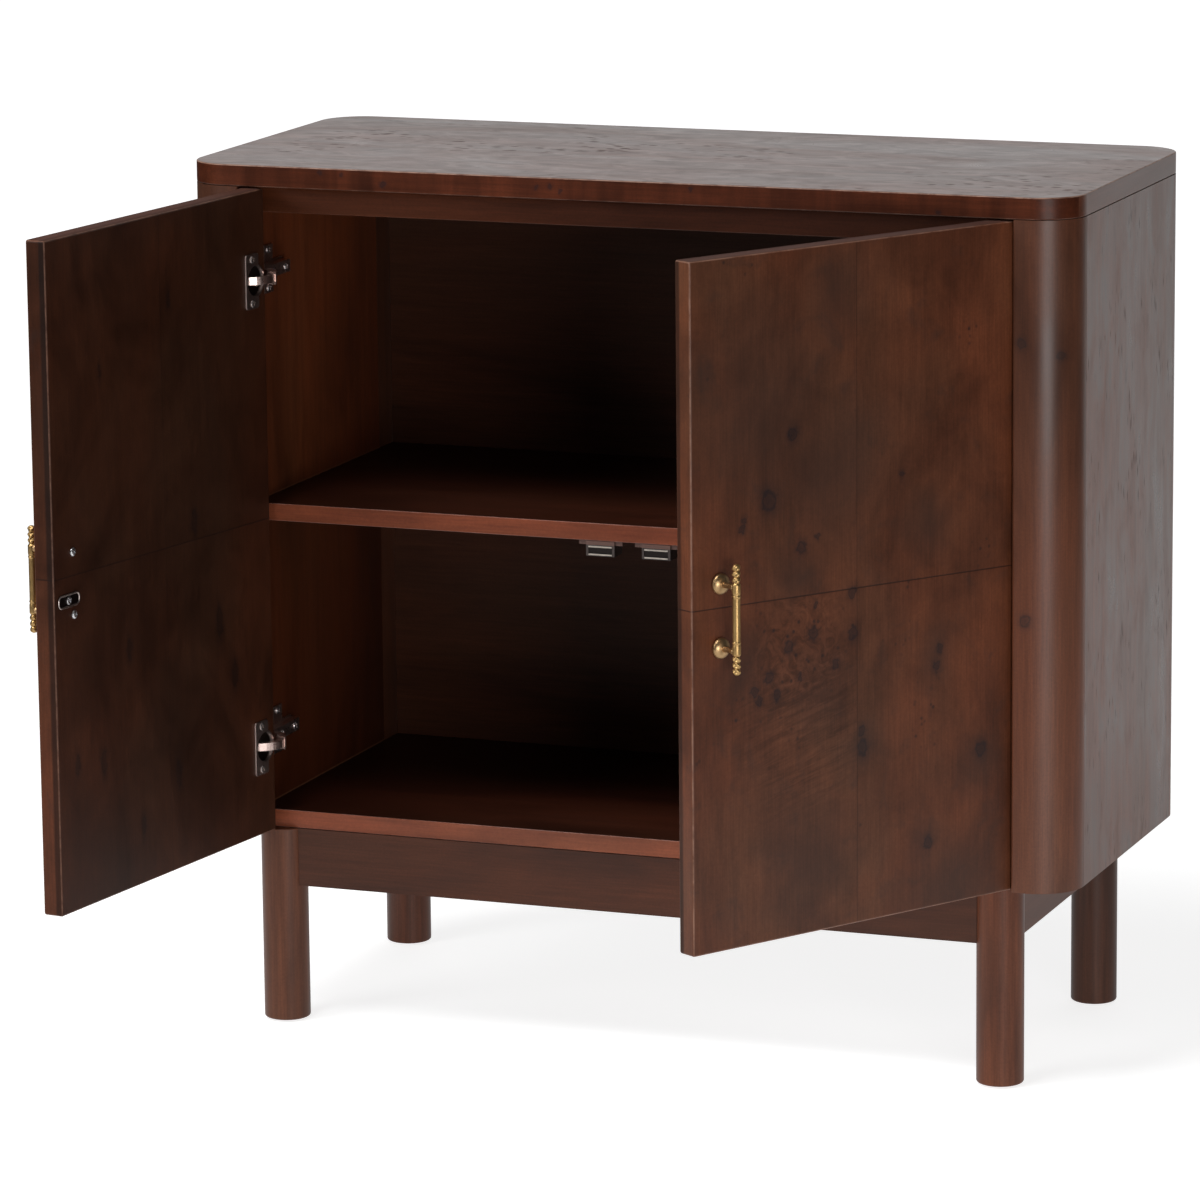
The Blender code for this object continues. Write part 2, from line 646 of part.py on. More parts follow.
def build_arm(side, x_sign, level, z):
    """The arm on the case: a body over its plate, curved at the front to reach into the cup."""
    name = side + "_hinge_arm_" + level
    low = ARM_LOW_S - AXIS_S
    high = low + ARM_THICKNESS
    back = ARM_END_V - AXIS_V
    inner_end = math.degrees(math.acos(low / ARM_INNER_RADIUS))
    outer_end = math.degrees(math.acos(high / ARM_OUTER_RADIUS))
    outline = arc_points((0, 0), ARM_OUTER_RADIUS, foot_angle(ARM_OUTER_RADIUS), outer_end, 10)
    outline += [(high, back), (low, back)]
    outline += arc_points((0, 0), ARM_INNER_RADIUS, inner_end, foot_angle(ARM_INNER_RADIUS), 12)
    outline = [(-x_sign * x, y) for x, y in outline]
    place = (*case_point(x_sign, AXIS_S, AXIS_V), z)
    item = add_object(name, outline_mesh(name, outline, ARM_HEIGHT), NICKEL, place, ROOT)
    slot_inner = ARM_INNER_RADIUS - 2 * LINK_CLEARANCE
    slot = [*arc_points((0, 0), ARM_OUTER_RADIUS - ARM_WEB, -5, LINK_END_ANGLE + 6, 14),
            *arc_points((0, 0), slot_inner, LINK_END_ANGLE + 6, -5, 14)]
    slot = outline_mesh("slot", [(-x_sign * x, y) for x, y in slot], LINK_THICKNESS + 2 * LINK_CLEARANCE)
    combine(item, slot, "DIFFERENCE")
    for v, radius in ((ARM_SCREW_V, HINGE_SCREW_RADIUS), (ARM_ADJUSTER_V, HINGE_SCREW_RADIUS * 0.7)):
        head = rod_mesh("screw_head", radius, 2 * HINGE_SCREW_HEIGHT, "X", 16)
        combine(item, head, "UNION", (-x_sign * high, v - AXIS_V, 0))
    shade(item)


def cross_outline():
    """The mounting plate seen from the middle of the cabinet: a long bar and a wing above and below."""
    start = PLATE_START_V
    end = ARM_END_V + PLATE_OVERRUN
    near = WING_CENTRE_V - WING_WIDTH / 2
    far = WING_CENTRE_V + WING_WIDTH / 2
    bar = PLATE_HEIGHT / 2
    wing = WING_HEIGHT / 2
    upper = [(end, bar), (far, bar), (far, wing), (near, wing), (near, bar), (start, bar)]
    return upper + [(v, -z) for v, z in reversed(upper)]


def build_plate(side, x_sign, level, z):
    """The cross-shaped mounting plate on the inner wall, with a raised bar under the arm."""
    name = side + "_hinge_plate_" + level
    seat = WALL_S + FIT_GAP
    x, y = case_point(x_sign, seat + WING_THICKNESS / 2, 0)
    mesh = outline_mesh(name, cross_outline(), WING_THICKNESS, "YZ")
    item = add_object(name, mesh, NICKEL, (x, y, z), ROOT)
    bar_thickness = PLATE_THICKNESS - WING_THICKNESS / 2
    bar = box_mesh("bar", (bar_thickness, ARM_END_V - PLATE_START_V, ARM_HEIGHT))
    combine(item, bar, "UNION", (-x_sign * bar_thickness / 2, (ARM_END_V + PLATE_START_V) / 2, 0))
    for sign in (-1, 1):
        head = rod_mesh("screw_head", HINGE_SCREW_RADIUS, 2 * HINGE_SCREW_HEIGHT, "X", 16)
        head_z = sign * (WING_HEIGHT / 2 - HINGE_SCREW_RADIUS - 2 * HINGE_SCREW_HEIGHT)
        combine(item, head, "UNION", (-x_sign * WING_THICKNESS / 2, WING_CENTRE_V, head_z))
    shade(item)


def build_strike(side, x_sign, axis):
    """The steel strike plate for the magnet and the screw through it, on the door's inner face."""
    x = door_point(x_sign, STRIKE_S, 0)[0]
    plate_y = FACE_V + STRIKE_THICKNESS / 2 - AXIS_V
    name = side + "_strike_plate"
    outline = rounded_rectangle(STRIKE_WIDTH, STRIKE_HEIGHT, STRIKE_CORNER, 4)
    mesh = outline_mesh(name, outline, STRIKE_THICKNESS, "XZ")
    item = add_object(name, mesh, STEEL, (x, plate_y, MAGNET_Z), axis)
    bore = rod_mesh("bore", STRIKE_SCREW_RADIUS + FIT_GAP, 2 * STRIKE_THICKNESS, "Y", 20)
    combine(item, bore, "DIFFERENCE")
    shade(item)
    head = rod_mesh(side + "_strike_screw", STRIKE_SCREW_RADIUS, STRIKE_THICKNESS, "Y", 20)
    screw = add_object(side + "_strike_screw", head, NICKEL, (x, plate_y, MAGNET_Z), axis)
    shank = rod_mesh("shank", SCREW_RADIUS, STRIKE_SCREW_LENGTH, "Y", 12)
    combine(screw, shank, "UNION", (0, -STRIKE_SCREW_LENGTH / 2, 0))
    shade(screw)


def build_catch(side, x_sign):
    """A magnetic catch under the front of the shelf: a flanged case round a magnet with two poles."""
    front_y = FRONT_Y + FACE_V + STRIKE_THICKNESS + CATCH_DOOR_GAP
    body_y = front_y + MAGNET_PROUD
    x = x_sign * CATCH_CENTRE_X
    name = side + "_catch"
    place = (x, body_y + CATCH_DEPTH / 2, CATCH_TOP_Z - CATCH_HEIGHT / 2)
    mesh = box_mesh(name, (CATCH_WIDTH, CATCH_DEPTH, CATCH_HEIGHT))
    item = add_object(name, mesh, BROWN_PLASTIC, place, ROOT)
    flange = box_mesh("flange", (CATCH_FLANGE_WIDTH, CATCH_FLANGE_DEPTH, CATCH_FLANGE_THICKNESS))
    combine(item, flange, "UNION", (0, 0, (CATCH_HEIGHT - CATCH_FLANGE_THICKNESS) / 2))
    pocket_depth = MAGNET_DEPTH - MAGNET_PROUD + FIT_GAP
    pocket = box_mesh("pocket", (MAGNET_WIDTH + 2 * FIT_GAP, 2 * pocket_depth, MAGNET_HEIGHT + 2 * FIT_GAP))
    combine(item, pocket, "DIFFERENCE", (0, -CATCH_DEPTH / 2, MAGNET_Z - place[2]))
    half = MAGNET_HEIGHT / 2
    pole = half - POLE_THICKNESS
    outline = [(POLE_PROUD, -pole), (0, -pole), (0, -half), (MAGNET_DEPTH, -half),
               (MAGNET_DEPTH, half), (0, half), (0, pole), (POLE_PROUD, pole)]
    magnet = outline_mesh(name + "_magnet", outline, MAGNET_WIDTH, "YZ")
    add_object(name + "_magnet", magnet, STEEL, (x, front_y, MAGNET_Z), ROOT)


def build_doors():
    """Each door with its pull, its half of the hinges and its strike plate, and the case's half."""
    for side, angle in (("left", LEFT_OPEN), ("right", RIGHT_OPEN)):
        x_sign = SIDES[side]
        axis = add_door_axis(side, x_sign, angle)
        build_door(side, x_sign, axis)
        build_pull(side, x_sign, axis)
        build_pull_screws(side, x_sign, axis)
        build_strike(side, x_sign, axis)
        build_catch(side, x_sign)
        for level, z in HINGE_HEIGHTS.items():
            build_cup(side, x_sign, axis, level, z)
            build_link(side, x_sign, axis, level, z)
            build_arm(side, x_sign, level, z)
            build_plate(side, x_sign, level, z)


def centre_on_floor():
    """Put the middle of the whole cabinet's box, its doors as they rest, over the origin."""
    graph = bpy.context.evaluated_depsgraph_get()
    corners = []
    for item in PARTS.objects:
        if item.type == "MESH":
            solid = item.evaluated_get(graph)
            corners += [solid.matrix_world @ vertex.co for vertex in solid.data.vertices]
    for axis in (0, 1):
        places = [corner[axis] for corner in corners]
        ROOT.location[axis] = -(min(places) + max(places)) / 2


build_top()
build_posts()
build_sides()
build_case_panels()
build_base()
build_doors()
centre_on_floor()
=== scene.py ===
"""Looks of the accent cabinet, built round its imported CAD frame.

Every size is in metres.  Pieces of the case are modelled where they stand.  Pieces of a
door are modelled as if it were shut, in the frame of its hinge axis, and then turned to
the angle at which the door rests.
"""
import json
import math

import bmesh
import bpy
from mathutils import Matrix, Vector


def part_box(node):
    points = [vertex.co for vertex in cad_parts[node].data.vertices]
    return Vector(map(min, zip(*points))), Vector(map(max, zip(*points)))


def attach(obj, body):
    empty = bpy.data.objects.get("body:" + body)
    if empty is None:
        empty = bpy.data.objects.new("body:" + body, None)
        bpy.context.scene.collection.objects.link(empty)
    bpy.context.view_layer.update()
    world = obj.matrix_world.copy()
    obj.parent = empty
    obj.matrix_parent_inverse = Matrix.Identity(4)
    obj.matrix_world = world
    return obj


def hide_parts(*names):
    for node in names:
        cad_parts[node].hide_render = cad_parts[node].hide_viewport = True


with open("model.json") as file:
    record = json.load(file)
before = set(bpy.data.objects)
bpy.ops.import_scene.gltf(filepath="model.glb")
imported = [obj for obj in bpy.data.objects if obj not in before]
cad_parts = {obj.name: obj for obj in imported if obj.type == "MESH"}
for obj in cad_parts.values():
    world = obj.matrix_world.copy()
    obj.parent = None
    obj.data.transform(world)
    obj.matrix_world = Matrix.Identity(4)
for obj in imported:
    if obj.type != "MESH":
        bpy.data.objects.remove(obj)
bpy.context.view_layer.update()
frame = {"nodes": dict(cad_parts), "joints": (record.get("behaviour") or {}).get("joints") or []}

# Sizes shared with the solids
CORNER_RADIUS = 0.046
POST_EDGE = 0.0025
# S is from a door's hinge edge, and V back from its outer face
AXIS_S = 0.005
AXIS_V = 0.006
DOOR_WIDTH = 0.406
DOOR_THICKNESS = 0.022
DOOR_EDGE = 0.0025
CUP_S = 0.0215
CUP_RADIUS = 0.0175
POCKET_DEPTH = 0.0138
FLANGE_S = 0.0275
FLANGE_THICKNESS = 0.0015
PLATE_DEPTH = 0.0036
PLATE_WING = 0.002
ARM_DEPTH = 0.0083
PULL_S = DOOR_WIDTH - 0.0346
STRIKE_S = DOOR_WIDTH - 0.0255
PULL_CENTRE_Z = 0.5355
PULL_HALF_CENTRES = 0.031
PULL_HALF_LENGTH = 0.0535
PULL_PROJECTION = 0.0245
COLLAR_PLACE = 0.032
POLE_THICKNESS = 0.0016
CATCH_FLANGE = 0.004
STRIKE_SIZE = (0.0385, 0.0135, 0.006)
FIT_GAP = 0.0003
SIDES = {"left": -1, "right": 1}
LEVELS = {"upper": 1, "lower": -1}

# Small forms of the visual model alone
SLAB_EDGE = 0.0015
FOOT_EDGE = 0.0025
LEG_TOP_EDGE = 0.0004
STRIKE_MIDDLE = 0.0004
# Edges that turn by more degrees than this look sharp
SMOOTH_ANGLE = 35
# Heights of the screws on a hinge from its middle, and how far they are behind the case's front
FLANGE_SCREWS = {"a": 0.0225, "b": -0.0225}
PLATE_SCREWS = {"a": 0.0198, "b": -0.0198}
PLATE_SCREWS_BACK = 0.068
ARM_SCREWS_BACK = {"rear": 0.089, "front": 0.056}
# Twisted ends of a pull: strands, their depth in radii and their turn in radians per metre
TWIST_STRANDS = 3
TWIST_DEPTH = 0.11
TWIST_TURN = 1050

TOP_LOW, TOP_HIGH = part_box("top_panel")
CASE_CENTRE = (TOP_LOW + TOP_HIGH) / 2
CASE_FRONT = TOP_LOW.y


class Nodes:
    """Short calls that add nodes to a node tree."""

    def __init__(self, tree):
        self.tree = tree

    def add(self, kind, inputs=None, **settings):
        node = self.tree.nodes.new("ShaderNode" + kind)
        for key, value in settings.items():
            setattr(node, key, value)
        for key, value in (inputs or {}).items():
            self.feed(node.inputs[key], value)
        return node

    def feed(self, socket, value):
        if isinstance(value, bpy.types.NodeSocket):
            self.tree.links.new(value, socket)
        elif socket.type == "RGBA":
            socket.default_value = (*value, 1.0)
        else:
            socket.default_value = value

    def out(self, kind, inputs=None, **settings):
        return self.add(kind, inputs, **settings).outputs[0]

    def math(self, operation, a, b=0.0, clamp=False):
        return self.out("Math", {0: a, 1: b}, operation=operation, use_clamp=clamp)

    def plus(self, a, b):
        return self.math("ADD", a, b)

    def minus(self, a, b):
        return self.math("SUBTRACT", a, b)

    def times(self, a, b):
        return self.math("MULTIPLY", a, b)

    def vector(self, operation, a, b=(0, 0, 0)):
        node = self.add("VectorMath", {0: a, 1: b}, operation=operation)
        return node.outputs["Value" if operation in ("LENGTH", "DISTANCE") else "Vector"]

    def scaled(self, vector, factors):
        return self.vector("MULTIPLY", vector, factors)

    def split(self, vector):
        return self.add("SeparateXYZ", {0: vector}).outputs

    def span(self, value, low, high, to_low=0.0, to_high=1.0):
        """A clamped change of range."""
        return self.out("MapRange", {0: value, 1: low, 2: high, 3: to_low, 4: to_high})


class Shading(Nodes):
    """One node material with a Principled shader."""

    def __init__(self, name):
        self.material = bpy.data.materials.new(name)
        self.material.use_nodes = True
        super().__init__(self.material.node_tree)
        self.shader = self.tree.nodes["Principled BSDF"]
        self.place = self.add("TexCoord").outputs["Object"]
        self.normal = self.add("TexCoord").outputs["Normal"]

    def turn_to(self, frame_place):
        """Read places and directions in another frame, such as that of a shut door."""
        angle = frame_place.to_euler().z
        self.place = self.out("Mapping", {"Vector": self.place, "Location": frame_place.translation,
                                          "Rotation": (0, 0, angle)}, vector_type="TEXTURE")
        self.normal = self.out("VectorRotate", {"Vector": self.normal, "Angle": -angle},
                               rotation_type="Z_AXIS")

    def set(self, **values):
        for key, value in values.items():
            self.feed(self.shader.inputs[key.replace("_", " ")], value)

    def fed(self, name):
        """What an input of the shader is fed with so far."""
        return self.shader.inputs[name].links[0].from_socket

    def noise(self, vector, scale, detail=2.0, roughness=0.5, distortion=0.0):
        return self.out("TexNoise", {"Vector": vector, "Scale": scale, "Detail": detail,
                                     "Roughness": roughness, "Distortion": distortion})

    def cells(self, vector, scale):
        """The distance to the nearest of some scattered points."""
        return self.out("TexVoronoi", {"Vector": vector, "Scale": scale})

    def shaken(self, scale, detail, amount):
        """Places moved about by noise, which gives uneven outlines."""
        node = self.add("TexNoise", {"Vector": self.place, "Scale": scale, "Detail": detail})
        shift = self.vector("SUBTRACT", node.outputs["Color"], (0.5, 0.5, 0.5))
        return self.vector("ADD", self.place, self.scale_colour(shift, amount))

    def mix(self, factor, a, b):
        return self.add("Mix", {0: factor, 6: a, 7: b}, data_type="RGBA").outputs[2]

    def scale_colour(self, colour, value):
        return self.out("VectorMath", {0: colour, "Scale": value}, operation="SCALE")

    def bump(self, height, distance, strength, under=None):
        inputs = {"Height": height, "Distance": distance, "Strength": strength}
        if under:
            inputs["Normal"] = under
        return self.out("Bump", inputs)

    def arris(self, low, high):
        """1 where the surface faces between the object's axes, as on a rounded edge."""
        x, y, z = self.split(self.vector("ABSOLUTE", self.normal))
        most = self.math("MAXIMUM", self.math("MAXIMUM", x, y), z)
        return self.span(most, high, low)

    def rim(self):
        """1 where the surface faces between upright and level, as on the rim of a slab."""
        z = self.math("ABSOLUTE", self.split(self.normal)[2])
        return self.times(self.span(z, 0.1, 0.4), self.span(z, 0.99, 0.9))

    def ramp(self, value, stops):
        """A smooth line through (place, value) stops."""
        node = self.add("FloatCurve", {"Value": value})
        points = node.mapping.curves[0].points
        while len(points) < len(stops):
            points.new(0.5, 0.5)
        for point, stop in zip(points, stops):
            point.location = stop
        node.mapping.update()
        return node.outputs[0]

    def reach(self, vector, places, tall=1.0):
        """The distance to the nearest of some (x, z, radius) places, in radii."""
        nearest = None
        flat = self.scaled(vector, (1, 0, 1 / tall))
        for x, z, radius in places:
            distance = self.math("DIVIDE", self.vector("DISTANCE", flat, (x, 0, z / tall)), radius)
            nearest = distance if nearest is None else self.math("MINIMUM", nearest, distance)
        return nearest

    def knots(self, places, spread=0.006, tall=1.2):
        """Uneven dark knots: a dark eye, a ring round it and a smoky halo."""
        bent = self.shaken(150.0, 4.0, 2 * spread)
        far = self.math("DIVIDE", self.reach(bent, places, tall), KNOT_REACH, True)
        return self.ramp(far, KNOT_SHADES)


# How much a texture is stretched along the grain
GRAIN = {"x": (0.035, 1, 1), "y": (1, 0.035, 1), "z": (1, 1, 0.035)}
# How dark a knot is at a share of its reach, which is this many of its radii
KNOT_REACH = 2.6
KNOT_SHADES = ((0.0, 0.62), (0.15, 0.55), (0.24, 0.5), (0.31, 0.74), (0.38, 0.64), (0.48, 0.3), (1.0, 0.0))
# The range that most of a noise texture's values lie in
NOISE = (0.32, 0.68)
# Dark clouds, olive parts and warm parts
STAINS = ((0.03, 0.0105, 0.006), (0.066, 0.0245, 0.012), (0.086, 0.025, 0.0105))


class Wood(Shading):
    """Stained wood: cloudy figure, and streaks, fibres and specks along the grain."""

    def __init__(self, name, along, shade, red, roughness, offset=(0, 0, 0), frame_place=None,
                 streaks=0.13, stretch=0.25):
        """shade is its brightness, red how much of it is warm and stretch how long its clouds are."""
        super().__init__(name)
        if frame_place:
            self.turn_to(frame_place)
        self.along = GRAIN[along]
        self.origin = self.vector("ADD", self.place, offset)
        stretched = self.scaled(self.origin, self.along)
        loose = self.scaled(self.origin, tuple(stretch if k < 1 else 1 for k in self.along))
        cloud = self.noise(loose, 8.0, 4.0, 0.6, 1.0)
        hue = self.noise(self.vector("ADD", loose, (7.3, 2.1, 4.7)), 5.5, 3.0, 0.5, 0.6)
        streak = self.noise(stretched, 130.0, 5.0, 0.65, 0.3)
        fibre = self.noise(stretched, 620.0, 3.0, 0.7)
        speck = self.noise(self.origin, 420.0, 2.0, 0.6)
        dark, olive, warm = (tuple(c * shade for c in stain) for stain in STAINS)
        redder = 0.3 * (red - 0.5)
        body = self.mix(self.span(hue, 0.35 - redder, 0.65 - redder), olive, warm)
        self.colour = self.mix(self.span(cloud, 0.56, 0.34, 0.0, 0.6), body, dark)
        self.vary(streak, 1 - streaks, 1 + streaks)
        self.vary(fibre, 0.87, 1.13)
        self.vary(speck, 0.92, 1.08)
        self.height = self.plus(self.times(fibre, 0.5), self.times(streak, 0.6))
        self.rough = self.span(cloud, 0.3, 0.7, roughness - 0.05, roughness + 0.06)

    def tone(self, value):
        self.colour = self.scale_colour(self.colour, value)

    def vary(self, noise, low, high):
        self.tone(self.span(noise, *NOISE, low, high))

    def sink(self, mask, depth):
        self.height = self.minus(self.height, self.times(mask, depth))

    def dull(self, mask, amount):
        self.rough = self.plus(self.rough, self.times(mask, amount))

    def tone_where(self, mask, change):
        """Tone by 1 plus a change, as far as a mask goes."""
        self.tone(self.plus(1.0, self.times(change, mask)))

    def stain(self, mask, colour, amount):
        self.colour = self.mix(self.math("MULTIPLY", mask, amount, True), self.colour, colour)

    def wear(self, mask, amount, colour):
        """Paler, duller wood where a mask marks an edge, broken up along it."""
        patchy = self.noise(self.place, 60.0, 3.0, 0.65)
        worn = self.times(mask, self.span(patchy, 0.35, 0.6, 0.25, 1.0))
        self.stain(worn, colour, amount)
        self.dull(worn, 0.12)

    def finish(self, bump=0.00004, gloss=0.5):
        waves = self.noise(self.scaled(self.origin, self.along), 26.0, 2.0, 0.5, 0.3)
        soft = self.bump(waves, 0.0008, 0.3)
        self.set(Base_Color=self.colour, Roughness=self.rough, Normal=self.bump(self.height, bump, 0.8, soft))
        self.set(IOR=1.42, Specular_IOR_Level=gloss)
        return self.material


def metal(name, colour, dull, roughness, grain, dirt):
    """Plated or cast metal: fine mottling, soft tarnish and small dents."""
    made = Shading(name)
    fine = made.noise(made.place, grain, 4.0, 0.6)
    broad = made.noise(made.place, grain / 7, 3.0, 0.6, 0.5)
    tarnish = made.span(broad, 0.4, 0.68, 0.0, dirt)
    made.set(Base_Color=made.mix(tarnish, colour, dull), Metallic=1.0,
             Roughness=made.span(fine, 0.3, 0.7, roughness - 0.06, roughness + 0.1),
             Normal=made.bump(fine, 0.00006, 0.5))
    return made


def plain_plastic(name, colour, roughness):
    """Moulded plastic or rubber: a fine grain and slightly uneven colour and gloss."""
    made = Shading(name)
    fine = made.noise(made.place, 1800.0, 3.0, 0.6)
    broad = made.noise(made.place, 90.0, 3.0, 0.6)
    tint = made.span(broad, 0.3, 0.7, 0.75, 1.2)
    made.set(Base_Color=made.scale_colour(colour, tint),
             Roughness=made.span(broad, 0.3, 0.7, roughness - 0.08, roughness + 0.08),
             Normal=made.bump(fine, 0.00005, 0.6))
    return made


def put(name, data):
    item = bpy.data.objects.new(name, data)
    bpy.context.scene.collection.objects.link(item)
    return item


def drop(item):
    bpy.data.objects.remove(item, do_unlink=True)


def add_piece(name, mesh, material, body, stands_for=(), place=None):
    """Put a mesh in the scene as one piece that moves with a body."""
    if place is not None:
        mesh = mesh.copy()
        mesh.transform(place)
    mesh.materials.clear()
    mesh.materials.append(material)
    piece = put(name, mesh)
    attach(piece, body)
    if stands_for:
        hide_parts(*stands_for)
    return piece


def mesh_from(name, form, smooth=SMOOTH_ANGLE):
    """A mesh from a bmesh, smooth but for edges sharper than an angle."""
    mesh = bpy.data.meshes.new(name)
    bmesh.ops.recalc_face_normals(form, faces=form.faces)
    form.to_mesh(mesh)
    form.free()
    mesh.shade_smooth()
    mesh.set_sharp_from_angle(angle=math.radians(smooth))
    return mesh


def flatten(piece):
    """Keep large flat faces flat between rounded edges."""
    weighted = piece.modifiers.new("flat_faces", "WEIGHTED_NORMAL")
    weighted.keep_sharp = True
    weighted.weight = 100


def soften(node, width):
    """Round the sharp edges of a CAD node a little, as pressed or moulded edges are."""
    rounding = node.modifiers.new("soft_edges", "BEVEL")
    rounding.width = width
    rounding.segments = 2
    rounding.limit_method = "ANGLE"
    rounding.angle_limit = math.radians(40)
    rounding.harden_normals = True


def rounded_box(name, low, high, edge, steps=3):
    form = bmesh.new()
    size = Vector(high) - Vector(low)
    place = Matrix.Translation((Vector(high) + Vector(low)) / 2)
    bmesh.ops.create_cube(form, size=1.0, matrix=place @ Matrix.Diagonal((*size, 1.0)))
    if edge:
        bmesh.ops.bevel(form, geom=form.edges[:], offset=edge, segments=steps, profile=0.5, affect="EDGES")
    return mesh_from(name, form)


def prism(name, outline, low, high, edge=0.0, steps=3):
    """An outline raised from low to high, with both rims rounded if asked."""
    form = bmesh.new()
    base = [form.verts.new((x, y, low)) for x, y in outline]
    lid = [form.verts.new((x, y, high)) for x, y in outline]
    form.faces.new(base)
    form.faces.new(lid)
    for i in range(len(outline)):
        j = (i + 1) % len(outline)
        form.faces.new((base[i], base[j], lid[j], lid[i]))
    bmesh.ops.recalc_face_normals(form, faces=form.faces)
    if edge:
        level = [e for e in form.edges if abs(e.verts[0].co.z - e.verts[1].co.z) < 1e-7]
        bmesh.ops.bevel(form, geom=level, offset=edge, segments=steps, profile=0.5, affect="EDGES")
    return mesh_from(name, form)


def arc(centre, radius, start, end, steps):
    turns = [math.radians(start + (end - start) * i / steps) for i in range(steps + 1)]
    return [(centre[0] + radius * math.cos(a), centre[1] + radius * math.sin(a)) for a in turns]


def round_rectangle(width, height, radius, steps):
    points = []
    for x_sign, y_sign, start in ((1, -1, -90), (1, 1, 0), (-1, 1, 90), (-1, -1, 180)):
        centre = (x_sign * (width / 2 - radius), y_sign * (height / 2 - radius))
        points += arc(centre, radius, start, start + 90, steps)
    return points


def surface(name, rings, smooth=SMOOTH_ANGLE):
    """A tube through rings of points.  A ring of one point closes an end."""
    form = bmesh.new()
    rows = [[form.verts.new(p) for p in ring] for ring in rings]
    for low, high in zip(rows, rows[1:]):
        count = max(len(low), len(high))
        for i in range(count):
            j = (i + 1) % count
            if len(low) == 1:
                form.faces.new((low[0], high[j], high[i]))
            elif len(high) == 1:
                form.faces.new((low[i], low[j], high[0]))
            else:
                form.faces.new((low[i], low[j], high[j], high[i]))
    return mesh_from(name, form, smooth)


def lathe(name, profile, segments, smooth=SMOOTH_ANGLE, wave=None):
    """Turn (radius, height) points about Z.  wave may change a radius by angle and height."""
    rings = []
    for radius, z in profile:
        if radius <= 0:
            rings.append([(0, 0, z)])
            continue
        ring = []
        for i in range(segments):
            a = 2 * math.pi * i / segments
            r = radius * (wave(a, z) if wave else 1.0)
            ring.append((r * math.cos(a), r * math.sin(a), z))
        rings.append(ring)
    return surface(name, rings, smooth)


def cut(piece, tool_meshes):
    """Cut a piece's mesh with others that are given in its own frame."""
    for mesh in tool_meshes:
        holder = put(piece.name + "_holder", piece.data)
        tool = put(piece.name + "_tool", mesh)
        taken = holder.modifiers.new("cut", "BOOLEAN")
        taken.operation = "DIFFERENCE"
        taken.solver = "EXACT"
        taken.object = tool
        graph = bpy.context.evaluated_depsgraph_get()
        piece.data = bpy.data.meshes.new_from_object(holder.evaluated_get(graph))
        drop(holder)
        drop(tool)
    piece.data.shade_smooth()
    piece.data.set_sharp_from_angle(angle=math.radians(SMOOTH_ANGLE))


def rod(radius, low, high, place):
    """A cylinder along Z for cutting, turned into place by a matrix."""
    form = bmesh.new()
    middle = Matrix.Translation((0, 0, (low + high) / 2))
    bmesh.ops.create_cone(form, cap_ends=True, segments=48, radius1=radius, radius2=radius,
                          depth=high - low, matrix=place @ middle)
    return mesh_from("rod", form)


def facing(point, direction, roll=0.0):
    """A place at a point whose Z axis looks along a direction."""
    turn = Vector(direction).to_track_quat("Z", "Y").to_matrix().to_4x4()
    return Matrix.Translation(point) @ turn @ Matrix.Rotation(math.radians(roll), 4, "Z")


def leaf_frame(side):
    """The frame of a door's hinge axis, at the angle where the door rests."""
    joint = next(j for j in frame["joints"] if j["name"] == side + "_door_hinge")
    angle = -joint["range_deg"][0] * joint["axis"][2]
    x, y, _ = joint["pos_m"]
    return Matrix.Translation((x, y, 0)) @ Matrix.Rotation(math.radians(angle), 4, "Z")


def door_point(side, s, v, z=0.0):
    """A place on a shut door, from its hinge edge and back from its outer face."""
    return Vector((-SIDES[side] * (s - AXIS_S), v - AXIS_V, z))


def on_door(side, places):
    """(s, height, radius) places on a door, as x, height and radius in the frame of its axis."""
    return [(-SIDES[side] * (s - AXIS_S), height, radius) for s, height, radius in places]


def middle_height(node):
    low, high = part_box(node)
    return (low.z + high.z) / 2


# Materials

# Dark knots on the outer faces of the doors: distance from the hinge edge, height, radius
KNOTS = {"right": (
    (0.2077, 0.5356, 0.0044), (0.2065, 0.4963, 0.0052), (0.2567, 0.5032, 0.005), (0.2867, 0.4937, 0.0052),
    (0.228, 0.4688, 0.004), (0.3116, 0.467, 0.005), (0.2731, 0.4615, 0.003), (0.3018, 0.448, 0.004),
    (0.329, 0.4558, 0.0038), (0.3241, 0.4464, 0.0032), (0.1953, 0.3981, 0.0038), (0.1941, 0.381, 0.006),
    (0.0418, 0.3572, 0.006), (0.0954, 0.465, 0.0032), (0.0993, 0.4487, 0.004), (0.1107, 0.2733, 0.005),
    (0.2808, 0.6991, 0.005), (0.3107, 0.6383, 0.0088), (0.2713, 0.5888, 0.0056), (0.1442, 0.643, 0.0026),
    (0.3402, 0.6237, 0.0032), (0.3439, 0.6146, 0.003), (0.2514, 0.596, 0.0022), (0.2535, 0.529, 0.0026),
), "left": (
    (0.3, 0.68, 0.005), (0.12, 0.6, 0.004), (0.29, 0.45, 0.006), (0.32, 0.43, 0.004),
    (0.26, 0.47, 0.004), (0.1, 0.33, 0.005), (0.24, 0.5, 0.004), (0.34, 0.47, 0.003),
)}
# Dark flames on the inner face of the left door
INNER_KNOTS = ((0.103, 0.446, 0.0055), (0.075, 0.388, 0.005), (0.273, 0.451, 0.004), (0.324, 0.347, 0.0048),
               (0.371, 0.355, 0.004), (0.254, 0.267, 0.0036), (0.146, 0.557, 0.0045), (0.187, 0.305, 0.005),
               (0.186, 0.788, 0.0032), (0.315, 0.736, 0.003))
# How much of its brightness the free edge of a door keeps, at the top and at the bottom: on the left door a
# painted shade that darkens it towards the top
EDGE_TONE_AND_PAINTED_SHADE = {"left": (0.36, 0.8), "right": (1.1, 1.1)}
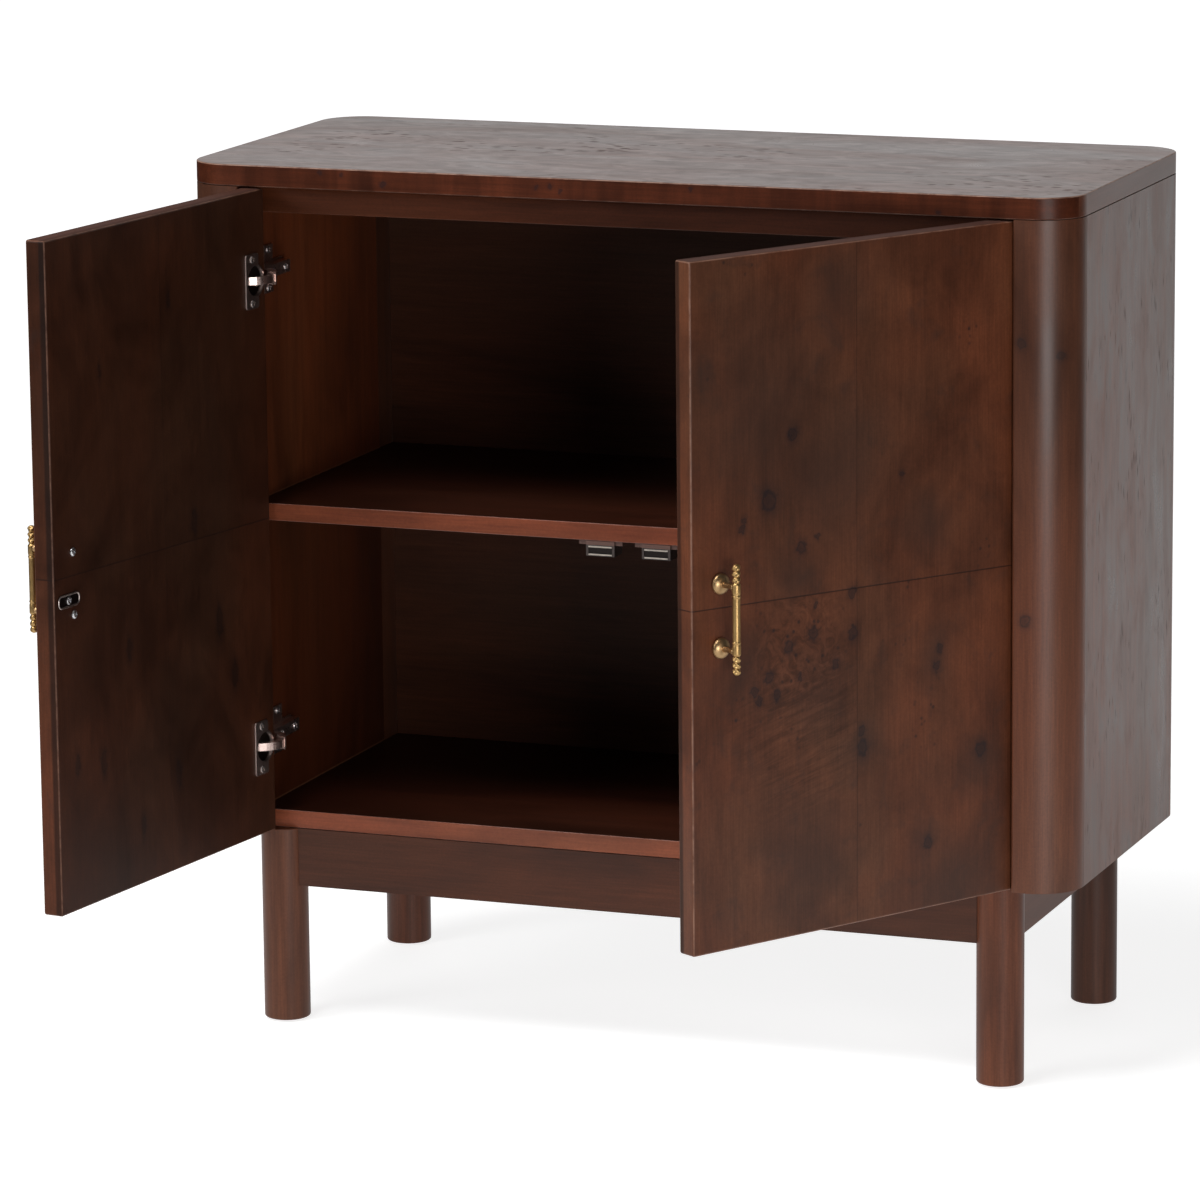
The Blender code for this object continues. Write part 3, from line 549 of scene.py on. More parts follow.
# Smoky patches on the outer faces
PATCHES = {"right": (
    (0.224, 0.828, 0.036), (0.385, 0.777, 0.032), (0.372, 0.737, 0.02), (0.111, 0.589, 0.028),
    (0.275, 0.558, 0.026), (0.256, 0.451, 0.04), (0.336, 0.479, 0.03), (0.099, 0.46, 0.022),
    (0.044, 0.344, 0.024), (0.194, 0.38, 0.02), (0.111, 0.273, 0.022), (0.265, 0.285, 0.046),
    (0.087, 0.216, 0.052), (0.32, 0.73, 0.08), (0.23, 0.66, 0.06),
), "left": (
    (0.31, 0.72, 0.06), (0.11, 0.62, 0.04), (0.21, 0.37, 0.05), (0.33, 0.29, 0.04),
)}
SLAB_KNOTS = [(CASE_CENTRE.x + x, z, r) for x, z, r in (
    (-0.319, 0.896, 0.002), (-0.296, 0.894, 0.0016), (-0.25, 0.886, 0.0022), (-0.07, 0.892, 0.0024),
    (-0.06, 0.887, 0.0018), (-0.085, 0.89, 0.002), (0.078, 0.895, 0.0018), (0.334, 0.8815, 0.002))]
POST_KNOTS = [(CASE_CENTRE.x + x, z, r) for x, z, r in (
    (0.4194, 0.757, 0.004), (0.456, 0.745, 0.0032), (0.424, 0.482, 0.005), (-0.44, 0.62, 0.0038),
    (-0.446, 0.38, 0.0034))]
SEAM_S = 0.2014
SEAM_Z = 0.5398
SEAM_SLOPE = 0.019
BURL_S = 0.272
BURL_Z = 0.495
CURL_Z = BURL_Z - 0.085
CURL_TILT = math.radians(14)
# Colours of stains and of worn edges
INK = (0.011, 0.009, 0.011)
SMOKE = (0.034, 0.02, 0.016)
PATCH = (0.036, 0.02, 0.015)
BURL_RED = (0.12, 0.038, 0.017)
FLAME = (0.006, 0.004, 0.004)
SEAM = (0.012, 0.005, 0.004)
TOP_EDGE_STAIN = (0.06, 0.024, 0.017)
BLOTCH = (0.034, 0.015, 0.01)
DOOR_WEAR = (0.24, 0.125, 0.085)
SLAB_WEAR = (0.32, 0.21, 0.17)
SLAB_EDGE_WEAR = (0.32, 0.19, 0.14)
BOARD_LINE = (0.2, 0.085, 0.045)


def door_material(side):
    """Burl veneer in four matched leaves, with dark knots on the outer face and worn edges."""
    sign = SIDES[side]
    made = Wood(side + "_door_veneer", "z", 1.36, 0.56, 0.36, frame_place=leaf_frame(side), streaks=0.07,
                stretch=0.55)
    x, y, z = made.split(made.place)
    across = made.plus(x, sign * (SEAM_S - AXIS_S))
    rise = made.times(across, -sign * SEAM_SLOPE)
    up = made.minus(made.minus(z, SEAM_Z), rise)
    outer = made.span(y, 0.01, 0.008)
    made.tone(made.span(outer, 0, 1, 0.38, 1.0))
    free_edge = made.span(made.times(made.split(made.normal)[0], -sign), 0.8, 0.97)
    # the free edge is toned by height; on the left door this is painted shade, darker towards the top
    made.tone_where(free_edge, made.minus(made.span(z, 0.72, 0.4, *EDGE_TONE_AND_PAINTED_SHADE[side]), 1.0))
    # each quarter of the veneer is cut from another part of the flitch
    shift = made.out("CombineXYZ", {0: made.times(made.math("SIGN", across), 1.7),
                                    2: made.times(made.math("SIGN", up), 2.3)})
    moved = made.vector("ADD", made.place, shift)
    quarter = made.noise(made.scaled(moved, (1, 1, 0.8)), 13.0, 5.0, 0.6, 1.0)
    made.vary(quarter, 0.8, 1.2)
    smoke = made.noise(moved, 26.0, 4.0, 0.6, 0.6)
    made.stain(made.times(made.span(smoke, 0.56, 0.76), outer), SMOKE, 0.45)
    patches = made.reach(made.shaken(16.0, 3.0, 0.07), on_door(side, PATCHES[side]))
    made.stain(made.times(made.span(patches, 1.7, 0.2), outer), PATCH, 0.5)
    # the burl in the lower quarter by the pull, and the curls under it
    free_low = made.times(made.span(made.times(across, -sign), 0.0, 0.0004),
                          made.times(made.span(up, 0.0, -0.0004), outer))
    spot = made.scaled(made.place, (1, 0, 1))
    burl_x = -sign * (BURL_S - AXIS_S)
    from_burl = made.vector("DISTANCE", spot, (burl_x, 0, BURL_Z))
    burl = made.times(made.span(from_burl, 0.08, 0.035), free_low)
    swirl = made.noise(moved, 60.0, 4.0, 0.6, 2.4)
    made.stain(burl, BURL_RED, 0.3)
    made.tone_where(burl, made.span(swirl, 0.34, 0.66, -0.34, 0.26))
    from_curls = made.vector("DISTANCE", spot, (burl_x, 0, CURL_Z))
    curl_area = made.times(made.span(from_curls, 0.105, 0.045), free_low)
    tilted = made.out("VectorRotate", {"Vector": moved, "Angle": CURL_TILT}, rotation_type="Y_AXIS")
    curl = made.noise(made.scaled(tilted, (26, 26, 210)), 1.0, 3.0, 0.6, 1.0)
    made.tone_where(curl_area, made.span(curl, *NOISE, -0.26, 0.22))
    # knots and pin knots
    spots = made.times(made.knots(on_door(side, KNOTS[side])), outer)
    made.stain(spots, INK, 1.0)
    if side == "left":
        flames = made.knots(on_door(side, INNER_KNOTS), 0.007, 2.6)
        made.stain(made.times(flames, made.minus(1.0, outer)), FLAME, 0.85)
    pin_area = made.math("MAXIMUM", made.span(made.noise(moved, 13.0, 2.0), 0.58, 0.7), burl)
    pin = made.times(made.span(made.cells(moved, 95.0), 0.24, 0.08), pin_area)
    made.stain(made.times(pin, outer), INK, 0.7)
    # hairline seams
    level_seam = made.span(made.math("ABSOLUTE", up), 0.001, 0.0003)
    upright_seam = made.span(made.math("ABSOLUTE", across), 0.0008, 0.0002)
    seam = made.math("MAXIMUM", level_seam, made.times(upright_seam, 0.55))
    made.stain(seam, SEAM, 0.75)
    made.sink(seam, 1.5)
    made.sink(spots, 0.8)
    made.wear(made.arris(0.78, 0.96), 0.5 if side == "left" else 0.85, DOOR_WEAR)
    # the top edge and the inner face are duller
    top = made.span(made.split(made.normal)[2], 0.8, 0.97)
    made.stain(top, TOP_EDGE_STAIN, 0.8)
    made.dull(top, 0.5)
    made.dull(made.span(outer, 0, 1, 1, 0), 0.12)
    return made.finish(gloss=0.22 if side == "left" else 0.3)


def top_material():
    """The slab's faces: figure along its length, and pits in clusters."""
    made = Wood("top_veneer", "x", shade=1.0, red=0.7, roughness=0.33, streaks=0.2)
    pits = made.cells(made.scaled(made.place, (0.4, 0.8, 1)), 130.0)
    pit_area = made.span(made.noise(made.place, 6.0, 3.0, 0.6, 0.6), 0.55, 0.7)
    pitted = made.times(made.span(pits, 0.34, 0.12), pit_area)
    made.stain(pitted, INK, 0.75)
    made.sink(pitted, 3.0)
    figure = made.noise(made.scaled(made.place, (0.5, 1, 1)), 34.0, 5.0, 0.65, 1.6)
    made.vary(figure, 0.72, 1.28)
    made.wear(made.rim(), 0.9, SLAB_WEAR)
    made.rough = made.plus(made.rough, made.span(figure, *NOISE, 0.05, -0.04))
    made.dull(pitted, 0.55)
    return made.finish(0.00012)


def top_edge_material():
    """The slab's edge: redder wood in lighter and darker blocks, small knots and a worn rim."""
    made = Wood("top_edge", "x", shade=0.7, red=1.0, roughness=0.36, streaks=0.18)
    blocks = made.noise(made.scaled(made.place, (1, 1, 0.1)), 30.0, 4.0, 0.6, 0.5)
    made.tone(made.span(blocks, 0.34, 0.66, 0.72, 1.45))
    made.colour = made.scaled(made.colour, (1.08, 0.86, 0.76))
    made.stain(made.knots(SLAB_KNOTS, 0.004, 1.0), INK, 1.0)
    upper = made.span(made.split(made.normal)[2], -0.05, 0.05, 0.35, 1.0)
    made.wear(made.times(made.rim(), upper), 0.9, SLAB_EDGE_WEAR)
    return made.finish(gloss=0.22)


def post_material():
    """Solid corner posts, a little lighter and redder than the doors, with painted shade towards the top."""
    made = Wood("post_wood", "z", 1.68, 0.48, 0.38, streaks=0.14, stretch=0.35)
    _, y, z = made.split(made.place)
    # painted shade: the posts darken towards the top
    made.tone(made.span(z, 0.36, 0.84, 1.0, 0.66))
    spots = made.times(made.knots(POST_KNOTS, 0.004), made.span(y, 0.06, 0.04))
    made.stain(spots, INK, 0.85)
    return made.finish(gloss=0.5)


def side_material():
    """Side veneer with open pores: short dark flecks along the grain."""
    made = Wood("side_veneer", "z", 1.4, 0.75, 0.33, (3.1, 0.4, 1.2), streaks=0.22)
    blotch = made.noise(made.scaled(made.origin, (1, 1, 0.35)), 34.0, 5.0, 0.65, 0.8)
    made.stain(made.span(blotch, 0.5, 0.7), BLOTCH, 0.7)
    made.rough = made.plus(made.rough, made.span(blotch, 0.35, 0.65, 0.04, -0.05))
    fleck = made.cells(made.scaled(made.place, (1, 1, 0.13)), 240.0)
    fleck_area = made.span(made.noise(made.origin, 16.0, 4.0, 0.65, 0.5), 0.5, 0.62)
    flecks = made.times(made.span(fleck, 0.26, 0.1), fleck_area)
    made.stain(flecks, INK, 0.75)
    made.dull(flecks, 0.35)
    made.sink(flecks, 3.0)
    return made.finish(0.00006, 0.46)


def wall_material():
    """The inner walls with painted shade, and a paler line where the boards and the back meet them."""
    made = Wood("inner_wall_wood", "z", 1.9, 0.9, 0.42)
    made.colour = made.scaled(made.colour, (1.05, 0.86, 0.68))
    _, y, z = made.split(made.place)
    # painted shade: darker near the front of the case, and much darker below the shelf
    painted_front_shade = made.span(y, CASE_FRONT + 0.16, CASE_FRONT + 0.04, 0.95, 0.76)
    shelf_low, shelf_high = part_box("shelf")
    made.tone(made.times(painted_front_shade, made.span(z, shelf_low.z, shelf_high.z, 0.44, 1.0)))
    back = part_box("back_panel")[0].y
    line = made.span(y, back - 0.0014, back - 0.0008)
    for board in ("shelf", "bottom_panel"):
        above = made.minus(z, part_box(board)[1].z)
        near = made.times(made.span(above, -0.0002, 0.0), made.span(above, 0.0014, 0.0008))
        line = made.math("MAXIMUM", line, near)
    made.stain(line, BOARD_LINE, 0.7)
    return made.finish(gloss=0.25)


def plain_wood(name, along, shade, red, roughness, edges=0.0, offset=(0, 0, 0), painted_top_shade=1.0, gloss=0.35,
               tint=(1, 1, 1), streaks=0.13, worn=(0.34, 0.19, 0.15)):
    """Wood without knots.  Its level faces can get painted shade, a tone against its upright ones,
    and edges is how much its edges are worn."""
    made = Wood(name, along, shade, red, roughness, offset, streaks=streaks)
    made.colour = made.scaled(made.colour, tint)
    # painted shade on the level faces
    if painted_top_shade != 1.0:
        level = made.span(made.math("ABSOLUTE", made.split(made.normal)[2]), 0.8, 0.98, 1.0, painted_top_shade)
        made.tone(level)
    if edges:
        made.wear(made.arris(0.75, 0.97), edges, worn)
    return made.finish(gloss=gloss)


TOP_WOOD = top_material()
TOP_EDGE_WOOD = top_edge_material()
TOP_END_WOOD = plain_wood("top_end", "y", 1.15, 0.65, 0.34, gloss=0.47)
POST_WOOD = post_material()
SIDE_WOOD = side_material()
LEG_WOOD = plain_wood("leg_wood", "z", 1.34, 0.7, 0.36, offset=(1.1, 2.2, 0), streaks=0.24)
# the rear legs: a darker copy of the leg wood, painted shade
REAR_LEG_PAINTED_SHADE_WOOD = plain_wood("rear_leg_painted_shade_wood", "z", 0.8, 0.8, 0.36, offset=(1.1, 2.2, 0), streaks=0.24)
APRON_WOOD = plain_wood("apron_wood", "x", 0.78, 0.75, 0.38)
SIDE_APRON_WOOD = plain_wood("side_apron_wood", "y", 1.0, 0.7, 0.4)
# the shelf and the bottom panel: painted shade darkens their level faces
SHELF_WOOD = plain_wood("shelf_wood", "x", 2.6, 0.85, 0.38, 0.9, (0, 0, 0.9), painted_top_shade=0.17,
                        # its pale worn edge colour is wear and partly a painted highlight
                        tint=(1.08, 0.88, 0.86), worn=(0.56, 0.36, 0.32))
TOP_RAIL_WOOD = plain_wood("top_rail_wood", "x", 0.9, 0.6, 0.38, 0.5, (0, 0, 0.4), gloss=0.25,
                           tint=(1.08, 0.88, 0.68))
WALL_WOOD = wall_material()
BACK_WOOD = plain_wood("back_wood", "x", 0.95, 0.4, 0.5, gloss=0.3)
RAIL_WOOD = plain_wood("rail_wood", "y", 0.9, 0.5, 0.55)
BRASS = metal("antique_brass", (0.53, 0.34, 0.14), (0.4, 0.245, 0.1), 0.38, 260.0, 0.5).material
ROSETTE_BRASS = metal("rosette_brass", (0.5, 0.325, 0.165), (0.38, 0.245, 0.12), 0.36, 200.0, 0.5).material
NICKEL = metal("nickel_plate", (0.8, 0.62, 0.56), (0.42, 0.31, 0.28), 0.3, 400.0, 0.4).material
WORN_ZINC = metal("worn_zinc", (0.46, 0.42, 0.4), (0.26, 0.23, 0.22), 0.4, 400.0, 0.5).material
ZINC = metal("zinc_plate", (0.78, 0.78, 0.8), (0.42, 0.42, 0.42), 0.28, 400.0, 0.4).material
FLANGE_PLASTIC = (0.125, 0.062, 0.048)
RUBBER = plain_plastic("glide_rubber", (0.012, 0.011, 0.011), 0.62).material


def cup_material(side):
    """Nickel plate with painted shade inside the cup and a painted highlight on one flange edge."""
    made = metal(side + "_cup_plate", (0.62, 0.5, 0.46), (0.32, 0.25, 0.23), 0.34, 400.0, 0.4)
    made.turn_to(leaf_frame(side))
    depth = made.split(made.place)[1]
    face = DOOR_THICKNESS - AXIS_V
    # painted shade: the inside of the cup is darkened
    inside = made.span(depth, face - 0.0006, face - 0.0025)
    dark = made.mix(made.times(inside, 0.85), made.fed("Base Color"), (0.035, 0.025, 0.022))
    # the flange's edge that faces the free edge of the door gets a painted highlight: a brighter colour
    facing_out = made.times(made.split(made.normal)[0], -SIDES[side])
    painted_highlight = made.times(made.span(facing_out, 0.45, 0.75), made.minus(1.0, inside))
    made.set(Base_Color=made.mix(painted_highlight, dark, (0.95, 0.78, 0.72)),
             Roughness=made.plus(made.fed("Roughness"), made.times(painted_highlight, 0.25)))
    return made.material


def strike_material(side):
    """Nickel plate with a rim round a middle darkened by painted shade."""
    made = metal(side + "_strike_metal", (0.62, 0.54, 0.5), (0.3, 0.24, 0.22), 0.34, 300.0, 0.6)
    made.turn_to(leaf_frame(side))
    proud = made.minus(made.split(made.place)[1], DOOR_THICKNESS - AXIS_V + FIT_GAP)
    # painted shade: the sunk middle inside the rim is darkened
    rim = made.span(proud, 0.0008, 0.0005)
    made.set(Base_Color=made.mix(rim, made.fed("Base Color"), (0.05, 0.036, 0.034)))
    return made.material


def catch_material(side):
    """Dark plastic, browner on the flange under the board."""
    made = plain_plastic(side + "_catch_plastic", (0.056, 0.041, 0.036), 0.45)
    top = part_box(side + "_catch")[1].z
    flange = made.span(made.split(made.place)[2], top - CATCH_FLANGE - 0.0001, top - CATCH_FLANGE)
    made.set(Base_Color=made.mix(flange, made.fed("Base Color"), FLANGE_PLASTIC))
    return made.material


def magnet_material(side):
    """A black magnet between two bright steel poles."""
    made = metal(side + "_magnet_steel", (0.82, 0.73, 0.64), (0.5, 0.43, 0.38), 0.34, 400.0, 0.4)
    low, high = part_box(side + "_catch_magnet")
    off = made.math("ABSOLUTE", made.minus(made.split(made.place)[2], (low.z + high.z) / 2))
    pole = (high.z - low.z) / 2 - POLE_THICKNESS
    core = made.span(off, pole + 0.0001, pole)
    made.set(Base_Color=made.mix(core, made.fed("Base Color"), (0.045, 0.038, 0.036)))
    return made.material


# Case

def build_slab():
    """The top slab with its round corners and softened rim."""
    size = TOP_HIGH - TOP_LOW
    outline = [(CASE_CENTRE.x + x, CASE_CENTRE.y + y)
               for x, y in round_rectangle(size.x, size.y, CORNER_RADIUS, 24)]
    mesh = prism("top_slab", outline, TOP_LOW.z, TOP_HIGH.z, edge=SLAB_EDGE, steps=4)
    slab = add_piece("top_slab", mesh, TOP_WOOD, "case", ("top_panel",))
    slab.data.materials.append(TOP_EDGE_WOOD)
    slab.data.materials.append(TOP_END_WOOD)
    for face in slab.data.polygons:
        if abs(face.normal.z) < 0.85:
            face.material_index = 2 if abs(face.normal.x) > 0.93 else 1
    flatten(slab)


def build_posts():
    """Corner posts with a large round outside and a softened edge by the door."""
    for end, y_sign in (("front", -1), ("rear", 1)):
        for side, x_sign in SIDES.items():
            node = end + "_" + side + "_post"
            low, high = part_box(node)
            width = high.x - low.x
            inner_x = high.x if x_sign < 0 else low.x
            back_y = high.y if y_sign < 0 else low.y
            outline = [(0, 0), *arc((width - CORNER_RADIUS, 0), CORNER_RADIUS, 0, 90, 24),
                       *arc((POST_EDGE, CORNER_RADIUS - POST_EDGE), POST_EDGE, 90, 180, 5)]
            points = [(inner_x + x_sign * x, back_y + y_sign * y) for x, y in outline]
            mesh = prism(node + "_wood", points, low.z, high.z)
            post = add_piece(end + "_" + side + "_corner", mesh, POST_WOOD, "case", (node,))
            flatten(post)


def build_legs():
    """Round legs with a softened foot."""
    for end in ("front", "rear"):
        for side in SIDES:
            node = end + "_" + side + "_leg"
            low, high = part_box(node)
            radius = (high.x - low.x) / 2
            foot = arc((radius - FOOT_EDGE, low.z + FOOT_EDGE), FOOT_EDGE, -90, 0, 6)
            profile = [(0, low.z), *foot, (radius, high.z - LEG_TOP_EDGE), (radius - LEG_TOP_EDGE, high.z),
                       (0, high.z)]
            mesh = lathe(node + "_wood", profile, 72)
            centre = (low + high) / 2
            place = Matrix.Translation((centre.x, centre.y, 0))
            # rear legs take the darker copy, painted shade
            wood = LEG_WOOD if end == "front" else REAR_LEG_PAINTED_SHADE_WOOD
            leg = add_piece(end + "_" + side + "_turned_leg", mesh, wood, "case", (node,), place)
            flatten(leg)


def dress_nodes():
    """Materials for the CAD nodes whose shape is right as it is."""
    chosen = {
        "shelf": SHELF_WOOD, "bottom_panel": SHELF_WOOD, "top_rail": TOP_RAIL_WOOD, "back_panel": BACK_WOOD,
        "front_apron": APRON_WOOD, "rear_apron": APRON_WOOD,
    }
    for side in SIDES:
        parts = {
            "apron": SIDE_APRON_WOOD, "inner_wall": WALL_WOOD, "side_rail": RAIL_WOOD,
            "side_panel": SIDE_WOOD, "catch": catch_material(side), "catch_magnet": magnet_material(side),
        }
        cup = cup_material(side)
        for level in LEVELS:
            parts["hinge_cup_" + level] = cup
            for part in ("hinge_arm_", "hinge_plate_", "hinge_link_"):
                parts[part + level] = NICKEL
        for part, material in parts.items():
            chosen[side + "_" + part] = material
        for end in ("front", "rear"):
            chosen[end + "_" + side + "_glide"] = RUBBER
    for name, material in chosen.items():
        for slot in frame["nodes"][name].material_slots:
            slot.material = material
        if "hinge" in name or name.endswith("_catch"):
            soften(frame["nodes"][name], 0.0004)
        elif name in ("shelf", "bottom_panel", "top_rail") or name.endswith("_apron"):
            soften(frame["nodes"][name], 0.0009)


# Doors

def build_door(side):
    """The leaf with rounded edges and its pockets for the hinge cups."""
    low_z, high_z = (corner.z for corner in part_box(side + "_door"))
    a = door_point(side, 0, 0, low_z)
    b = door_point(side, DOOR_WIDTH, DOOR_THICKNESS, high_z)
    low = [min(p, q) for p, q in zip(a, b)]
    high = [max(p, q) for p, q in zip(a, b)]
    blank = put(side + "_blank", rounded_box(side + "_door_leaf", low, high, DOOR_EDGE, 5))
    tools = []
    for level in LEVELS:
        mouth = door_point(side, CUP_S, DOOR_THICKNESS, middle_height(side + "_hinge_cup_" + level))
        tools.append(rod(CUP_RADIUS + FIT_GAP, -POCKET_DEPTH, 0.01, facing(mouth, (0, 1, 0))))
    cut(blank, tools)
    leaf = add_piece(side + "_door_leaf", blank.data, door_material(side), side + "_leaf",
                     (side + "_door",), leaf_frame(side))
    drop(blank)
    flatten(leaf)


def screw_mesh(name, radius, height, dome, recess):
    """A screw head with a cross recess, its seat at the origin and its top towards Z."""
    rim = height - dome
    crown = radius * 0.96
    profile = [(0, 0), (radius, 0), (radius, rim * 0.7), (crown, rim)]
    for i in range(1, 6):
        t = i / 6
        profile.append((crown * math.cos(t * math.pi / 2), rim + dome * math.sin(t * math.pi / 2)))
    profile.append((0, height))
    holder = put(name, lathe(name, profile, 32))
    arms = []
    half = Vector((radius * recess, radius * 0.16, height * 0.75))
    for turn in (0, 90):
        arm = rounded_box("arm", -half, half, 0.0)
        turned = Matrix.Rotation(math.radians(turn), 4, "Z")
        arm.transform(Matrix.Translation((0, 0, height * 1.15)) @ turned)
        arms.append(arm)
    cut(holder, arms)
    mesh = holder.data
    drop(holder)
    return mesh


def build_pull(side):
    """The pull: a turned bar with twisted ends on two necks, each over a domed rosette."""
    frame_place = leaf_frame(side)
    body = side + "_leaf"
    centre = door_point(side, PULL_S, -PULL_PROJECTION, PULL_CENTRE_Z)
    end = PULL_HALF_LENGTH

    # plain stretch, ring and collar, with heights from the collar's place
    half = [(0.0038, -COLLAR_PLACE), (0.0038, -0.0118), (0.00382, -0.0108), (0.00415, -0.0104),
            (0.00422, -0.0098), (0.00415, -0.0092), (0.00382, -0.0088), (0.00386, -0.0076),
            (0.00408, -0.007), (0.0042, -0.006), (0.0042, 0.0008), (0.00408, 0.0018),
            (0.0037, 0.0024), (0.003, 0.0032)]
    half = [(radius, COLLAR_PLACE + z) for radius, z in half]
    twist_low = COLLAR_PLACE + 0.0033
    twist_high = end - 0.0008
    steps = 54
    for i in range(1, steps + 1):
        t = i / steps
        swell = abs(math.sin(math.pi * 3 * t)) ** 0.6
        half.append((0.00268 + 0.00112 * swell, twist_low + (twist_high - twist_low) * t))
    upper = half + [(0.0022, end - 0.0005), (0.0016, end - 0.0001), (0.0, end)]
    profile = [(r, -z) for r, z in reversed(upper)] + upper[1:]

    def wave(angle, z):
        inside = twist_low + 0.0004 < abs(z) < twist_high
        return 1 + TWIST_DEPTH * math.cos(TWIST_STRANDS * angle - TWIST_TURN * abs(z)) if inside else 1.0

    bar = lathe(side + "_pull_bar", profile, 40, 50, wave)
    place = frame_place @ Matrix.Translation(centre)
    add_piece(side + "_pull_bar", bar, BRASS, body, (side + "_pull",), place)

    # the rosette's foot and dome, and the neck up to the bar
    foot, base, dome = 0.0103, 0.0009, 0.006
    rosette = [(0, 0), (0.0098, 0.0), (0.0102, 0.0004), (foot, base)]
    for degrees in range(6, 73, 6):
        t = math.radians(degrees)
        rosette.append((foot * math.cos(t), base + dome * math.sin(t)))
    rosette += [(0.0031, 0.0076), (0.0029, 0.0095), (0.0028, 0.012), (0.0028, 0.016), (0.0031, 0.0182),
                (0.0036, 0.0196), (0.0039, 0.0208), (0.0036, 0.0222), (0, 0.0236)]
    mesh = lathe(side + "_rosette", rosette, 48, 60)
    seat = -AXIS_V - FIT_GAP
    for level, z_sign in LEVELS.items():
        z = PULL_CENTRE_Z + z_sign * PULL_HALF_CENTRES
        spot = frame_place @ facing((centre.x, seat, z), (0, -1, 0))
        add_piece(side + "_pull_rosette_" + level, mesh, ROSETTE_BRASS, body, (), spot)


def build_small_parts():
    """Screw heads with cross recesses, and the strike plates."""
    pan = screw_mesh("pan_head", 0.0044, 0.0024, 0.0014, 0.55)
    flat = screw_mesh("flat_head", 0.004, 0.0013, 0.0005, 0.6)
    small = screw_mesh("small_head", 0.0029, 0.0012, 0.0004, 0.6)
    face = DOOR_THICKNESS + FIT_GAP
    for side, sign in SIDES.items():
        body = side + "_leaf"
        place = leaf_frame(side)
        for level, z_sign in LEVELS.items():
            z = PULL_CENTRE_Z + z_sign * PULL_HALF_CENTRES
            spot = place @ facing(door_point(side, PULL_S, face, z), (0, 1, 0), 20 + 40 * z_sign)
            add_piece(side + "_pull_screw_head_" + level, pan, ZINC, body,
                      (side + "_pull_screw_" + level,), spot)
            hinge_z = middle_height(side + "_hinge_cup_" + level)
            for end, offset in FLANGE_SCREWS.items():
                seat = door_point(side, FLANGE_S, face + FLANGE_THICKNESS, hinge_z + offset)
                name = side + "_flange_screw_" + level + "_" + end
                add_piece(name, flat, WORN_ZINC, body, (), place @ facing(seat, (0, 1, 0), 25))
            for end, back in ARM_SCREWS_BACK.items():
                seat = (arm_face(side), CASE_FRONT + back, hinge_z)
                add_piece(side + "_arm_screw_" + level + "_" + end, flat if end == "rear" else small, ZINC,
                          "case", (), facing(seat, (-sign, 0, 0), 15))
            plate_low, plate_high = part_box(side + "_hinge_plate_" + level)
            wing = (plate_low.x if sign < 0 else plate_high.x) - sign * PLATE_WING
            for end, offset in PLATE_SCREWS.items():
                seat = (wing, CASE_FRONT + PLATE_SCREWS_BACK, hinge_z + offset)
                add_piece(side + "_plate_screw_" + level + "_" + end, flat, ZINC, "case", (),
                          facing(seat, (-sign, 0, 0), 35))
        build_strike(side, place, body, flat)


def arm_face(side):
    """The flat inner face of a hinge arm, counted from the inner wall."""
    sign = SIDES[side]
    wall_low, wall_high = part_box(side + "_inner_wall")
    wall = wall_high.x if sign < 0 else wall_low.x
    return wall - sign * (FIT_GAP + PLATE_DEPTH + FIT_GAP + ARM_DEPTH)


def build_strike(side, place, body, screw):
    """A stadium strike plate with a raised rim round a sunk middle, and its screw."""
    z = middle_height(side + "_strike_plate")
    face = DOOR_THICKNESS + FIT_GAP
    spot = place @ facing(door_point(side, STRIKE_S, face, z), (0, 1, 0))
    rings = [[(0, 0, 0)]]
    width, height, corner = STRIKE_SIZE
    for inset, level in ((0, 0), (0, 0.0008), (0.0004, 0.0012), (0.0011, 0.0012), (0.0015, 0.001),
                         (0.002, STRIKE_MIDDLE)):
        ring = round_rectangle(width - 2 * inset, height - 2 * inset, corner - inset, 12)
        rings.append([(x, y, level) for x, y in ring])
    rings.append([(0, 0, STRIKE_MIDDLE)])
    dish = surface(side + "_strike_dish", rings)
    add_piece(side + "_strike_dish", dish, strike_material(side), body,
              (side + "_strike_plate",), spot)
    head = place @ facing(door_point(side, STRIKE_S, face + STRIKE_MIDDLE, z), (0, 1, 0), 40)
    add_piece(side + "_strike_screw_head", screw, ZINC, body, (side + "_strike_screw",), head)


build_slab()
build_posts()
build_legs()
dress_nodes()
for door_side in SIDES:
    build_door(door_side)
    build_pull(door_side)
build_small_parts()


# Floor, light and camera

# For all but the camera the floor fades between two distances
FLOOR_NEAR = 1.0
FLOOR_FAR = 3.1
FLOOR_FADED = 0.04
# How bright it glows near and far, and in reflections beside and behind the cabinet
FLOOR_GLOW = (0.8, 1.0)
FLOOR_GLOW_PLACES = (1.2, 5.0)
FLOOR_SHINE = (0.5, 0.66)
FLOOR_PAINT = 0.55
BACKDROP_EDGE = (0.6, 0.85)
BACKDROP_LEVEL = 0.9
ROOM_LEVEL = 0.06
# Name, place, aim, size and power of each lamp
LAMPS = (
    ("key", (-1.1, -1.6, 4.2), (0, 0, 0.5), (2.2, 1.4), 135),
    ("front", (-3.4, -4.4, 2.6), (0, 0, 0.5), (2.4, 1.8), 88),
    ("side", (2.1, -2.72, 0.48), (0.3, 0, 0.48), (1.3, 0.84), 37),
)
# The camera's turn, pitch and roll in degrees, and its place from the middle of the case's plan
CAMERA_ANGLES = (20.9254, -11.5799, -0.5697)
CAMERA_PLACE = (2.1865, -5.9757, 1.7415)
CAMERA_LENS = 188.475


class Staging(Nodes):
    """A bare node tree for the floor or the world."""

    def __init__(self, tree):
        super().__init__(tree)
        tree.nodes.clear()

    def seen(self):
        """1 for the camera's own rays, and for what shows through glass."""
        rays = self.add("LightPath").outputs
        return self.math("MAXIMUM", rays["Is Camera Ray"], rays["Is Transmission Ray"])


